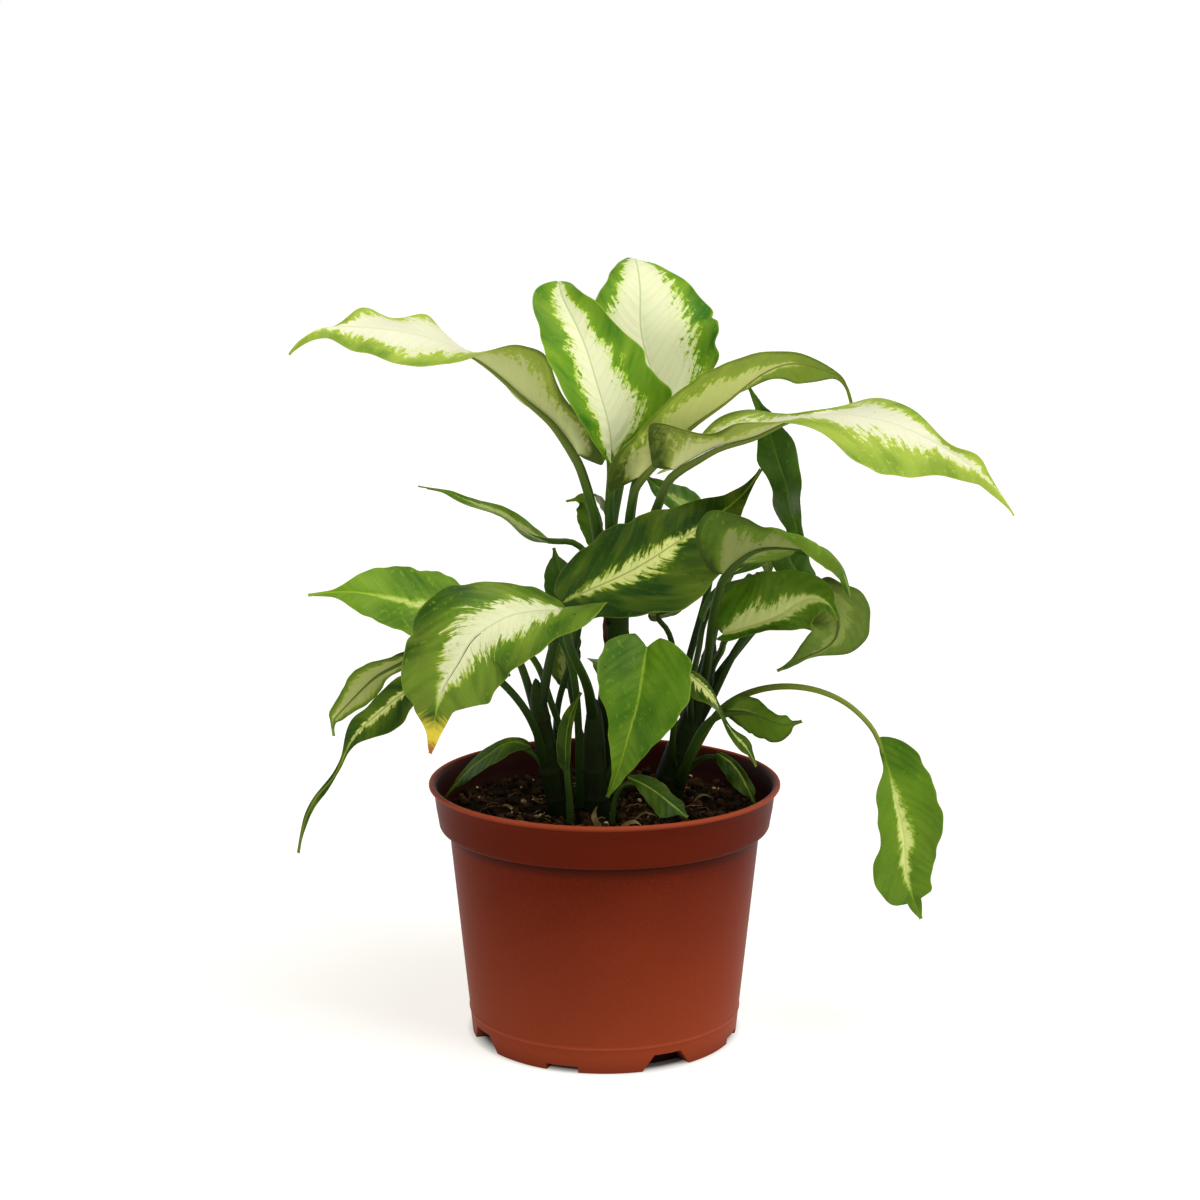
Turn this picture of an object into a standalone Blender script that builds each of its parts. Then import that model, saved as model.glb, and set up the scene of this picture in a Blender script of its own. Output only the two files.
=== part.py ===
# Potted dieffenbachia: a plastic grower's pot, its soil, four canes and thirty-three leaves.
# Lengths are written in millimetres, and MM makes them metres where a shape is made. +Z is up, the
# front faces -Y, and the origin is the middle of the pot's underside.
import math

import bmesh
import bpy
import numpy as np

MM = 0.001
ROOM = 0.3

# The pot: heights are measured from the floor that it stands on.
POT_HEIGHT = 103.0
LIP_RADIUS = 70.0
LIP_THICKNESS = 2.0
COLLAR_TOP_RADIUS = 68.2
COLLAR_FOOT_RADIUS = 66.0
COLLAR_FOOT = 86.0
BODY_TOP_RADIUS = 61.6
BODY_TOP = 80.0
FOOT_RADIUS = 53.4
WALL = 1.6
FLOOR = 2.0
POT_STEPS = 40

# The drain pockets round the foot: tall ones with slanted sides, and low slots between them.
POCKET_TURN = 27.0
SLOT_TURN = 72.0
POCKET_WIDTH_TOP = 11.5
POCKET_WIDTH_FOOT = 21.0
POCKET_HEIGHT = 6.5
SLOT_WIDTH = 13.0
SLOT_HEIGHT = 2.6
POCKET_DEPTH_RADIUS = 46.0
DRAIN_HOLE_RADIUS = 2.5

SOIL_TOP = 90.0
SOIL_UNEVENNESS = 0.9
SOIL_STEPS = 28

BLADE_THICKNESS = 0.8
NARROWEST_HALF = 0.6
ROLL_START = 0.66
ROLL_PULL = 0.6
PLAIN_MARGIN = ([1], [1])
PLAIN_ROLL = ((0, 0), 0.3, 0.6)
LARGE_LEAF_WIDTH = 12.0
LARGE_LEAF_GRID = (11, 6)
SMALL_LEAF_GRID = (7, 4)
MIDRIB_LENGTH = 0.45
STALK_STEP = 12.0
MIDRIB_TIP_RADIUS = 0.55

# Canes: points from the buried foot to the top, and the radius at each point.
CANES = {
    "cane_main": dict(
        points=[(-1, 6, 52), (0, 6, 95), (2, 5, 130), (5, 3, 165), (4, 1, 190)],
        radii=(6.2, 6.0, 5.4, 4.8, 4.2)),
    "cane_centre": dict(
        points=[(-2, -9, 54), (-3, -9, 92), (-4, -9, 115), (-4, -8, 138)],
        radii=(5.2, 5.2, 4.6, 3.4)),
    "cane_left": dict(
        points=[(-16, -5, 56), (-18, -6, 91), (-22, -7, 112), (-25, -8, 129), (-27, -9, 146)],
        radii=(4.6, 4.6, 4.4, 4.0, 3.0)),
    "cane_right": dict(
        points=[(24, 10, 52), (26, 10, 97), (31, 9, 114), (37, 8, 131), (41, 6, 148), (43, 5, 160)],
        radii=(7.0, 7.0, 6.5, 5.4, 4.0, 3.0)),
}

# Leaves. carrier: what the stalk grows from. stem: the stalk's radius at its foot and at the blade.
# stalk, rib: points along the stalk and along the midrib, which share one point. face: the way the
# upper side looks at even steps from base to tip. fold: the rise in degrees of the left and right
# half at even steps. wide: the half widths. shape: the outline's powers towards base and tip.
# wave: the margin's ripple for each half, its count and its phase. lobe: how far each half reaches
# back past the stalk. drip: the length and width of the drawn-out tip as parts of the blade's.
# margin: what the left and the right half width are multiplied by at even steps from base to tip.
# roll: how far each outer part bends under, and between which parts of the length that comes on.
LEAVES = {
    "leaf_high_left": dict(
        carrier="cane_main", stem=(2.4, 1.9), stalk=[(3, 2, 166), (0, 1, 180), (-2, -1, 196),
        (-5, -5, 214), (-9, -9, 228), (-11, -10, 234)], rib=[(-11, -10, 234), (-19, -6, 245),
        (-30, -2, 254), (-40, -1, 263), (-50, -4, 271), (-64, -10, 278), (-79, -16, 282), (-98, -22, 284),
        (-108, -27, 283), (-118, -29, 274)], face=[(0.5, 0.8, 0.35), (0.35, 0.88, 0.3), (0, -0.2, 0.97),
        (0, -0.45, 0.9), (0, -0.35, 0.93)], fold=[(21, 75), (24, 55), (-6, 7), (-36, 2), (-26, -4)],
        wide=(21, 20), shape=(0.42, 0.8), wave=((0.7, 2.6), 4.5, 0.36), lobe=(12, 0), margin=([1.5, 0.72,
        0.52, 0.79, 0.91, 0.9, 0.89, 1.0, 1.11, 1.03, 1.5, 1.5, 0.96], [1.0, 0.99, 0.98, 0.98, 1.0, 1.02,
        1.23, 0.97, 1.18, 1.21, 0.15, 0.15, 0.4])),
    "leaf_high_front": dict(
        carrier="cane_main", stem=(2.2, 1.7), stalk=[(4, 1, 176), (3, -3, 190), (2, -5, 205),
        (2, -7, 217), (3, -8, 230)], rib=[(3, -8, 230), (1, -14, 248), (-3, -17, 262), (-6, -16, 272),
        (-12, -10, 284), (-18, 0, 293), (-20, 12, 297), (-21, 26, 293)], face=[(0.5, -0.86, 0.1),
        (0.5, -0.86, 0.1), (0.4, -0.8, 0.3), (0.2, -0.3, 0.9)], fold=[(20, 20), (15, 14), (-6, 35),
        (-28, 17)], wide=(21, 24), shape=(0.75, 0.95), wave=((1.5, 1.5), 2.5, 0.3), lobe=(0, 0),
        margin=([0.78, 0.67, 0.68, 0.75, 0.85, 0.95, 0.87, 0.83, 0.89, 0.91, 0.25, 0.19, 0.42], [0.15,
        0.72, 1.36, 1.11, 0.92, 0.86, 0.66, 0.54, 0.47, 0.73, 1.23, 0.88, 0.63])),
    "leaf_high_back": dict(
        carrier="cane_main", stem=(2.2, 1.7), stalk=[(4, 2, 178), (8, 5, 192), (10, 8, 206),
        (15, 12, 228), (25, 17, 243)], rib=[(25, 17, 243), (21, 16, 257), (16, 16, 272), (14, 17, 283),
        (14, 20, 294), (13, 28, 304), (12, 40, 307), (11, 58, 300)], face=[(0.3, -0.95, 0.1),
        (0.3, -0.95, 0.1), (0.25, -0.9, 0.3), (0, -0.2, 0.9)], fold=[(15, 5), (10, 12), (-5, -7),
        (-30, -15)], wide=(24, 29), shape=(0.6, 0.75), wave=((1.8, 1.8), 2.5, 0.0), lobe=(0, 0),
        margin=([1.01, 1.01, 1.02, 1.01, 0.99, 0.93, 0.84, 0.64, 0.55, 0.44, 0.32, 0.53, 0.8], [0.15, 0.8,
        1.1, 1.05, 1.03, 1.02, 1.05, 0.93, 0.91, 0.62, 0.59, 0.67, 0.83])),
    "leaf_high_arching": dict(
        carrier="cane_main", stem=(2, 1.6), stalk=[(5, 1, 180), (8, -3, 192), (9, -5, 203), (10, -7, 213),
        (13, -9, 225)], rib=[(13, -9, 225), (20, -11, 232), (33, -11, 245), (46, -9, 254), (62, -7, 266),
        (74, -6, 269), (82, -6, 267), (90, -6, 264), (95, -7, 253)], face=[(-0.6, 0.5, 0.6),
        (-0.5, 0.6, 0.6), (-0.1, 0.5, 0.85), (0.3, 0.5, 0.8)], fold=[(44, 24), (51, 11), (-11, 2),
        (-21, 0)], wide=(17, 17), shape=(0.42, 0.8), wave=((1.2, 1.2), 2.4, 0.3), lobe=(8, 12),
        margin=([1.03, 1.03, 1.01, 0.96, 0.85, 0.67, 0.45, 0.37, 0.74, 1.5, 1.5, 0.68, 0.43], [1.28, 1.36,
        1.07, 0.98, 1.18, 1.39, 1.42, 1.17, 0.82, 0.88, 1.15, 0.53, 0.15])),
    "leaf_high_right": dict(
        carrier="cane_main", stem=(2.4, 1.9), stalk=[(5, 2, 166), (10, 2, 180), (14, -1, 192),
        (18, -7, 207), (26, -16, 229)], rib=[(26, -16, 229), (34, -19, 234), (43, -22, 239),
        (56, -26, 243), (68, -29, 249), (87, -32, 252), (103, -34, 250), (119, -36, 244), (134, -38, 235),
        (146, -39, 225), (153, -40, 215)], face=[(-0.5, 0.17, 0.9), (-0.3, 0, 0.95), (0.05, -0.4, 0.9),
        (0.2, -0.5, 0.83), (0.2, -0.5, 0.83)], fold=[(55, 77), (17, 23), (-17, 1), (28, -27), (-33, -17)],
        wide=(22, 24), shape=(0.42, 0.7), wave=((1.6, 1.6), 2.4, 0.3), lobe=(8, 13), margin=([0.15, 0.15,
        0.86, 1.19, 0.89, 0.15, 0.2, 1.1, 1.13, 0.73, 0.3, 0.22, 0.81, 0.28, 0.2], [0.15, 1.4, 0.48, 0.51,
        0.82, 0.66, 0.77, 1.29, 1.4, 1.37, 1.27, 0.86, 0.91, 1.2, 0.78])),
    "leaf_dark_twisted": dict(
        carrier="cane_right", stem=(1.8, 1.3), stalk=[(36, 8, 122), (44, 4, 138), (52, 2, 155),
        (69, 0, 174), (81, -2, 181)], rib=[(81, -2, 181), (74, -3, 189), (72, -3, 196), (75, -3, 202),
        (73, -3, 210), (71, -2, 220), (68, -1, 229), (65, 1, 239), (61, 4, 250), (56, 7, 259)],
        face=[(0, -0.95, 0.3), (-0.2, -0.95, 0.2), (-1, -0.25, 0.2), (-0.6, -0.75, 0.1),
        (-0.6, -0.7, 0.1), (-0.6, -0.7, 0.1)], fold=[(19, 1)], wide=(11, 11), shape=(0.4, 0.5),
        wave=((1.2, 1.2), 3.5, 0.2), lobe=(0, 0), margin=([0.69, 0.65, 0.79, 0.48, 0.43, 1.05, 0.74, 0.55,
        0.87, 0.79, 0.78, 1.35, 1.5], [1.25, 0.81, 0.84, 0.61, 0.19, 1.17, 1.11, 0.8, 0.97, 1.0, 0.88,
        0.92, 0.99])),
    "leaf_middle_diagonal": dict(
        carrier="cane_left", stem=(2, 1.6), stalk=[(-26, -8, 130), (-23, -11, 146), (-21, -12, 156),
        (-18, -14, 167), (-16, -18, 178)], rib=[(-16, -18, 178), (-5, -23, 184), (7, -26, 190),
        (17, -28, 196), (26, -28, 202), (34, -26, 207), (45, -22, 214), (54, -17, 221), (60, -13, 229)],
        face=[(-0.3, -0.7, 0.6), (-0.3, -0.7, 0.6), (-0.2, -0.7, 0.6), (-0.2, -0.7, 0.6)],
        fold=[(5, -14)], wide=(22.5, 22.5), shape=(0.5, 0.9), wave=((1.5, 1.5), 2, 0.3), lobe=(4, 4),
        drip=(0.16, 0.2), margin=([0.97, 0.95, 0.92, 1.0, 0.93, 0.86, 0.86, 0.87, 0.94, 1.13, 1.01, 0.65,
        0.51], [0.77, 0.63, 0.61, 0.76, 0.89, 1.07, 1.16, 1.16, 1.2, 1.17, 0.88, 0.41, 0.25])),
    "leaf_broad_drooping": dict(
        carrier="cane_centre", stem=(2.2, 1.8), stalk=[(-4, -8, 128), (-6, -15, 142), (-10, -27, 155),
        (-14, -34, 167), (-15, -35, 178)], rib=[(-15, -35, 178), (-26, -42, 179), (-36, -48, 178),
        (-43, -52, 175), (-49, -55, 171), (-54, -58, 163), (-60, -60, 153), (-63, -60, 141),
        (-65, -58, 128)], face=[(0.1, -0.5, 0.85), (-0.2, -0.7, 0.7), (-0.5, -0.8, 0.3),
        (-0.4, -0.9, 0.1)], fold=[(63, -3), (-58, 16), (-7, 11)], wide=(25, 23.5), shape=(0.62, 0.55),
        wave=((1, 1), 2, 0.3), lobe=(18, 4), drip=(0.2, 0.26), margin=([1.4, 1.4, 0.88, 0.77, 0.72, 0.81,
        0.87, 0.88, 0.95, 1.01, 0.89, 0.81, 0.95], [1.07, 1.06, 0.78, 0.73, 0.84, 0.94, 1.04, 1.0, 1.1,
        1.21, 1.4, 0.78, 1.19])),
    "leaf_right_arched": dict(
        carrier="cane_right", stem=(2, 1.6), stalk=[(38, 7, 134), (40, 0, 147), (41, -8, 158),
        (42, -20, 174), (45, -37, 192)], rib=[(45, -37, 192), (51, -41, 199), (58, -44, 203),
        (65, -47, 204), (75, -49, 203), (83, -50, 200), (88, -50, 195), (91, -50, 186)],
        face=[(0, 0.93, 0.25), (0, 0.8, 0.6), (0.1, 0.1, 1), (0.3, -0.35, 0.9)], fold=[(18, 5), (16, 25),
        (4, -2)], wide=(15, 16), shape=(0.4, 0.8), wave=((1, 1), 2, 0.3), lobe=(0, 2),
        roll=((0, 4.5), 0.3, 0.6), margin=([0.43, 0.29, 0.44, 0.59, 0.77, 1.06, 1.43, 1.5, 1.43, 1.44,
        1.03, 0.38, 0.18], [0.94, 1.31, 1.45, 0.98, 0.59, 0.67, 0.78, 1.02, 1.18, 1.5, 1.5, 1.5, 1.49])),
    "leaf_right_banded": dict(
        carrier="cane_right", stem=(1.7, 1.3), stalk=[(40, 6, 141), (44, 0, 152), (46, -6, 157),
        (46, -12, 164)], rib=[(46, -12, 164), (57, -15, 168), (69, -19, 174), (80, -22, 180),
        (86, -24, 178), (89, -25, 172)], face=[(-0.1, -0.75, 0.65), (-0.1, -0.75, 0.65),
        (0.1, -0.75, 0.65)], fold=[(26, 50), (23, -3), (10, -13)], wide=(15.5, 15.5), shape=(0.5, 0.6),
        wave=((1, 1), 2, 0.3), lobe=(3, 3), margin=([1.5, 1.44, 1.31, 1.28, 1.21, 1.17, 1.13, 0.98, 0.95,
        0.86, 0.95], [1.01, 0.69, 0.43, 0.36, 0.34, 0.52, 0.77, 1.15, 1.26, 1.19, 1.1])),
    "leaf_right_hanging": dict(
        carrier="cane_right", stem=(1.7, 1.3), stalk=[(39, 8, 133), (46, 9, 144), (56, 10, 157),
        (72, 8, 174), (83, 7, 180)], rib=[(83, 7, 180), (90, 6, 174), (93, 5, 166), (91, 5, 158),
        (82, 7, 152), (69, 9, 145)], face=[(0.3, 0.8, 0.4), (0.3, 0.8, 0.4), (0.3, 0.8, 0.4)],
        fold=[(4, 8)], wide=(12.5, 12.5), shape=(0.5, 0.9), wave=((1, 1), 2.3, 0.3), lobe=(0, 0),
        margin=([0.99, 1.0, 1.0, 1.02, 1.03, 1.06, 1.07, 1.03, 0.86, 0.65, 0.58], [1.5, 0.87, 0.96, 1.01,
        0.95, 0.75, 0.42, 0.33, 0.33, 0.78, 1.11])),
    "leaf_front_hanging": dict(
        carrier="cane_centre", stem=(1.8, 1.4), stalk=[(-4, -9, 98), (4, -11, 112), (12, -19, 135),
        (17, -31, 154), (16, -37, 161)], rib=[(16, -37, 161), (14, -44, 153), (12, -49, 144),
        (9, -52, 134), (6, -52, 123), (1, -50, 109)], face=[(0.05, -0.95, 0.3), (0.1, -1, 0.1),
        (0.1, -1, 0)], fold=[(28, 13)], wide=(17.5, 17.5), shape=(0.5, 1.1), wave=((1, 1), 2, 0.3),
        lobe=(8, 11), margin=([1.04, 1.19, 1.16, 1.14, 1.08, 0.97, 0.92, 0.94, 1.09, 1.06, 0.87], [1.2,
        1.15, 1.05, 1.0, 0.93, 0.72, 0.67, 0.68, 0.68, 0.63, 0.71])),
    "leaf_left_lime": dict(
        carrier="soil", stem=(1.7, 1.3), stalk=[(-10, 0, 76), (-10, 0, 100), (-11, 0, 135),
        (-15, -4, 156), (-25, -8, 170), (-41, -10, 176), (-52, -12, 175)], rib=[(-52, -12, 175),
        (-70, -14, 176), (-87, -16, 180), (-100, -18, 182), (-114, -20, 181)], face=[(0, -0.75, 0.65),
        (0, -0.75, 0.65), (0, -0.75, 0.65)], fold=[(5, 4)], wide=(14.5, 14.5), shape=(0.6, 1.0),
        wave=((1, 1), 2, 0.3), lobe=(0, 0), margin=([1.0, 1.0, 1.0, 1.0, 0.99, 1.0, 1.02, 1.03, 0.96,
        0.94, 1.14], [1.29, 1.27, 1.1, 0.99, 1.02, 1.13, 1.1, 1.0, 0.51, 0.29, 0.34])),
    "leaf_left_olive": dict(
        carrier="soil", stem=(1.5, 1.2), stalk=[(-12, 7, 76), (-14, 5, 100), (-17, 2, 121), (-22, 2, 136),
        (-29, 0, 153), (-47, -2, 162), (-63, -4, 161), (-74, -6, 155)], rib=[(-74, -6, 155),
        (-82, -8, 151), (-88, -9, 148), (-94, -10, 143), (-98, -11, 139), (-103, -13, 134),
        (-106, -14, 130), (-106, -14, 124)], face=[(0.2, 0.6, 0.7), (0.2, 0.6, 0.7), (0.3, 0.7, 0.5)],
        fold=[(5, 5)], wide=(8, 8), shape=(0.5, 0.6), wave=((0.8, 0.8), 2, 0.3), lobe=(0, 0)),
    "leaf_left_long": dict(
        carrier="cane_left", stem=(1.7, 1.3), stalk=[(-21, -7, 104), (-25, -13, 120), (-29, -18, 132),
        (-39, -24, 147), (-52, -28, 156), (-64, -30, 155), (-72, -32, 148)], rib=[(-72, -32, 148),
        (-80, -33, 143), (-86, -34, 138), (-93, -36, 132), (-98, -37, 125), (-104, -38, 113),
        (-110, -38, 106), (-115, -37, 96), (-118, -36, 83)], face=[(-0.3, -0.8, 0.5), (-0.4, -0.8, 0.4),
        (-0.6, -0.7, 0.2), (-0.6, -0.7, 0.1)], fold=[(-3, 10)], wide=(10, 10), shape=(0.5, 1.0),
        wave=((0.8, 0.8), 3, 0.3), lobe=(0, 0), drip=(0.5, 0.2), margin=([1.07, 0.81, 0.94, 0.95, 0.76,
        0.38, 0.15, 0.48, 1.41, 1.5, 1.5, 1.5, 1.31], [1.34, 0.75, 0.55, 0.5, 0.8, 0.63, 0.32, 0.62, 0.9,
        0.96, 1.01, 0.99, 0.99])),
    "leaf_left_narrow": dict(
        carrier="cane_main", stem=(1.8, 1.3), stalk=[(4, 3, 152), (2, 9, 168), (-2, 12, 182),
        (-8, 14, 193), (-15, 14, 197), (-21, 13, 196)], rib=[(-21, 13, 196), (-30, 12, 200),
        (-39, 10, 207), (-50, 8, 212), (-61, 6, 217), (-73, 4, 220)], face=[(0, -0.2, 1), (0, -0.25, 1),
        (0, -0.25, 1)], fold=[(10, 9)], wide=(10, 10), shape=(0.5, 0.9), wave=((0.8, 0.8), 2, 0.3),
        lobe=(0, 0), margin=([1.0, 1.0, 1.0, 1.0, 1.0, 1.0, 1.0, 1.0, 1.0], [1.01, 0.98, 0.74, 0.64, 0.73,
        0.57, 0.24, 0.3, 0.56])),
    "leaf_small_bright": dict(
        carrier="cane_main", stem=(1.4, 1.1), stalk=[(3, 4, 171), (-2, 8, 184), (-2, 8, 194)],
        rib=[(-2, 8, 194), (-4, 8, 202), (-6, 7, 209), (-9, 6, 214), (-15, 4, 214)],
        face=[(-0.6, -0.8, 0.1), (-0.6, -0.7, 0.3), (-0.3, -0.6, 0.7)], fold=[(10, 10)], wide=(6, 6),
        shape=(0.5, 0.7), wave=((0.5, 0.5), 2, 0.3), lobe=(0, 0)),
    "leaf_small_dark": dict(
        carrier="soil", stem=(1.5, 1.2), stalk=[(-19, 9, 76), (-19, 9, 105), (-18, 8, 134), (-13, 9, 150),
        (-9, 10, 169)], rib=[(-9, 10, 169), (-14, 10, 178), (-18, 9, 187), (-20, 8, 195)],
        face=[(-0.4, -0.8, 0.3), (-0.4, -0.8, 0.3)], fold=[(10, 10)], wide=(9, 9), shape=(0.5, 0.7),
        wave=((0.5, 0.5), 2, 0.3), lobe=(0, 0)),
    "leaf_behind_stalk": dict(
        carrier="cane_right", stem=(1.6, 1.3), stalk=[(37, 8, 126), (33, 14, 140), (35, 17, 152),
        (40, 19, 170), (42, 24, 194), (38, 26, 203)], rib=[(38, 26, 203), (31, 28, 210), (23, 30, 215),
        (15, 32, 222)], face=[(-0.1, -0.6, 0.8), (-0.1, -0.6, 0.8)], fold=[(10, 10)], wide=(9, 9),
        shape=(0.5, 0.9), wave=((0.5, 0.5), 2, 0.3), lobe=(0, 0)),
    "leaf_low_pale": dict(
        carrier="cane_right", stem=(1.4, 1.1), stalk=[(34, 9, 116), (31, 16, 130), (28, 18, 150),
        (24, 17, 162), (18, 17, 167)], rib=[(18, 17, 167), (24, 19, 167), (30, 22, 168), (35, 25, 171)],
        face=[(-0.1, 0.6, 0.8), (-0.1, 0.6, 0.8)], fold=[(5, 5)], wide=(9, 9), shape=(0.5, 0.8),
        wave=((0.5, 0.5), 2, 0.3), lobe=(0, 0)),
    "leaf_right_twisted": dict(
        carrier="cane_right", stem=(1.4, 1.1), stalk=[(29, 9, 100), (27, 0, 113), (27, -9, 124),
        (28, -18, 139), (30, -27, 154)], rib=[(30, -27, 154), (36, -30, 149), (41, -32, 144),
        (45, -34, 136), (51, -35, 128), (55, -35, 123), (58, -35, 117)], face=[(-0.3, -0.9, 0.3),
        (0.3, -0.8, 0.4), (0.9, -0.1, 0.4), (0.6, -0.6, 0.4), (0.6, -0.6, 0.4)], fold=[(6, 9)],
        wide=(7.5, 7.5), shape=(0.5, 0.7), wave=((0.6, 0.6), 2, 0.3), lobe=(0, 0), margin=([0.23, 0.37,
        0.39, 0.27, 0.21, 0.24, 0.33, 0.58, 1.14, 1.5, 1.5], [0.78, 0.84, 0.94, 1.06, 1.16, 1.05, 0.93,
        0.96, 1.22, 1.5, 1.5])),
    "leaf_right_small": dict(
        carrier="cane_right", stem=(2.0, 1.5), stalk=[(29, 7, 98), (34, -4, 114), (39, -9, 126),
        (46, -14, 134)], rib=[(46, -14, 134), (55, -18, 135), (62, -22, 133), (70, -25, 131),
        (76, -27, 133)], face=[(0, 0.95, 0.3), (0, 0.95, 0.3), (0.1, 0.95, 0.3)], fold=[(4, 6)],
        wide=(8.5, 8.5), shape=(0.5, 0.5), wave=((1, 1), 1.8, 0.3), lobe=(0, 0), margin=([1.13, 1.12,
        1.14, 1.16, 1.2, 1.19, 1.2, 0.75, 0.58], [0.56, 0.7, 0.72, 0.69, 0.62, 0.54, 0.62, 0.98, 1.5])),
    "leaf_far_right_hanging": dict(
        carrier="cane_right", stem=(2.0, 1.5), stalk=[(31, 9, 104), (38, 6, 117), (45, 3, 129),
        (57, -4, 139), (77, -12, 143), (95, -17, 137), (107, -20, 125)], rib=[(107, -20, 125),
        (110, -22, 114), (114, -24, 98), (117, -24, 85), (118, -23, 72), (121, -21, 61), (125, -19, 51)],
        face=[(0.3, -0.95, 0.2), (0.4, -0.9, 0), (0.4, -0.9, 0), (0.3, -0.95, 0)], fold=[(17, 3)],
        wide=(16, 18), shape=(0.6, 0.42), wave=((1.2, 1.2), 2.2, 0.3), lobe=(0, 0), margin=([1.4, 1.4,
        1.27, 1.21, 1.06, 1.02, 0.97, 0.88, 0.83, 0.79, 0.88, 1.4, 1.4], [0.15, 0.15, 0.21, 0.52, 0.56,
        0.56, 0.56, 0.7, 0.94, 0.94, 0.94, 1.33, 1.4])),
    "leaf_in_pot_left": dict(
        carrier="cane_left", stem=(1.6, 1.2), stalk=[(-20, -7, 98), (-25, -8, 112), (-29, -8, 118)],
        rib=[(-29, -8, 118), (-36, -8, 120), (-45, -6, 115), (-54, -2, 107), (-59, 1, 101), (-64, 4, 94)],
        face=[(-0.1, -0.5, 0.9), (-0.4, -0.6, 0.7), (-0.6, -0.6, 0.4)], fold=[(5, 4)], wide=(7, 7),
        shape=(0.5, 0.9), wave=((0.5, 0.5), 2, 0.3), lobe=(0, 0), margin=([0.74, 0.91, 1.01, 0.94, 0.98,
        0.97, 0.97, 1.01, 1.03], [0.87, 0.48, 0.34, 0.49, 0.64, 0.56, 0.39, 0.49, 0.72])),
    "leaf_in_pot_front": dict(
        carrier="soil", stem=(1.3, 1.0), stalk=[(3, -18, 76), (3, -18, 92), (5, -18, 102), (9, -20, 109)],
        rib=[(9, -20, 109), (17, -24, 106), (25, -28, 101), (32, -32, 96)], face=[(0.1, -0.7, 0.7),
        (0.3, -0.7, 0.6)], fold=[(7, -17)], wide=(8, 8), shape=(0.5, 0.7), wave=((0.5, 0.5), 2, 0.3),
        lobe=(0, 0), margin=([0.23, 0.46, 0.57, 0.55, 0.55, 0.54, 0.87, 1.5, 1.5], [0.15, 0.22, 0.45,
        0.58, 0.72, 0.97, 1.5, 1.5, 1.27])),
    "leaf_in_pot_right": dict(
        carrier="cane_right", stem=(1.3, 1.0), stalk=[(27, 11, 93), (36, 12, 106), (45, 6, 112)],
        rib=[(45, 6, 112), (51, 5, 108), (56, 4, 101), (60, 2, 92)], face=[(-0.2, -0.8, 0.6),
        (0.1, -0.8, 0.5)], fold=[(5, 5)], wide=(5.5, 5.5), shape=(0.5, 0.6), wave=((1, 1), 2, 0.3),
        lobe=(0, 0),
        margin=([0.26, 0.4, 0.33, 0.33, 0.54, 1.05, 1.5], [1.0, 1.0, 1.0, 1.0, 1.0, 1.0, 1.0])),
    "leaf_pale_behind": dict(
        carrier="cane_main", stem=(1.4, 1.1), stalk=[(0, 6, 102), (-9, 8, 118), (-12, 11, 128),
        (-14, 12, 137)], rib=[(-14, 12, 137), (-15, 14, 146), (-15, 14, 155), (-12, 12, 164)],
        face=[(0.2, 0.9, 0.1), (0.2, 0.9, 0.1)], fold=[(8, 5)], wide=(8, 8), shape=(0.6, 0.6),
        wave=((0.5, 0.5), 2, 0.3), lobe=(0, 0),
        margin=([0.38, 0.58, 0.65, 0.69, 0.79, 1.22, 1.5], [1.0, 1.0, 1.0, 1.0, 1.0, 1.0, 1.0])),
    "shoot_young": dict(
        carrier="soil", stem=(1.7, 1.2), stalk=[(-14, -22, 76), (-14, -22, 104), (-15, -22, 112)],
        rib=[(-15, -22, 112), (-15, -22, 122), (-13, -20, 134), (-9, -17, 142)], face=[(-0.5, -0.9, 0.1),
        (-0.5, -0.9, 0.1)], fold=[(30, 30)], wide=(3.6, 3.6), shape=(0.4, 0.6), wave=((0, 0), 2, 0.3),
        lobe=(0, 0)),
    "leaf_right_narrow": dict(
        carrier="cane_right", stem=(1.5, 1.2), stalk=[(35, 8, 119), (34, 1, 134), (35, -6, 148),
        (37, -9, 159), (38, -10, 169)], rib=[(38, -10, 169), (41, -14, 177), (49, -16, 184),
        (60, -17, 189)], face=[(-0.6, -0.6, 0.5), (-0.3, -0.5, 0.8), (0, -0.3, 0.9)], fold=[(20, 20)],
        wide=(5, 5), shape=(0.5, 0.9), wave=((0.4, 0.4), 2, 0.3), lobe=(0, 0), margin=([0.6], [0.8])),
    "leaf_back_high": dict(
        carrier="cane_main", stem=(2.1, 1.7), stalk=[(4, 2, 170), (4, 7, 184), (3, 13, 198), (5, 22, 212),
        (8, 30, 226)], rib=[(8, 30, 226), (10, 42, 240), (13, 56, 250), (15, 70, 253), (17, 84, 249),
        (18, 96, 240)], face=[(0.2, -0.7, 0.7), (0, -0.3, 0.95), (-0.2, 0.3, 0.9)], fold=[(15, 15)],
        wide=(21, 21), shape=(0.5, 0.8), wave=((1.2, 1.2), 2.2, 0.3), lobe=(0, 0)),
    "leaf_back_left": dict(
        carrier="cane_left", stem=(1.9, 1.5), stalk=[(-24, -7, 118), (-30, 6, 138), (-36, 20, 150),
        (-42, 30, 157)], rib=[(-42, 30, 157), (-50, 42, 162), (-58, 55, 162), (-66, 68, 155),
        (-72, 80, 143)], face=[(0.3, -0.4, 0.85), (0, 0, 1), (-0.3, 0.4, 0.85)], fold=[(15, 15)],
        wide=(19, 19), shape=(0.5, 0.8), wave=((1, 1), 2.2, 0.3), lobe=(0, 0)),
    "leaf_back_right": dict(
        carrier="cane_right", stem=(1.9, 1.5), stalk=[(38, 8, 126), (41, 17, 144), (45, 27, 160),
        (48, 35, 171), (51, 42, 178)], rib=[(51, 42, 178), (57, 54, 184), (63, 67, 185), (68, 80, 180),
        (71, 92, 168)], face=[(-0.2, -0.4, 0.85), (0, 0, 1), (0.3, 0.4, 0.85)], fold=[(12, 12)],
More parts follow.
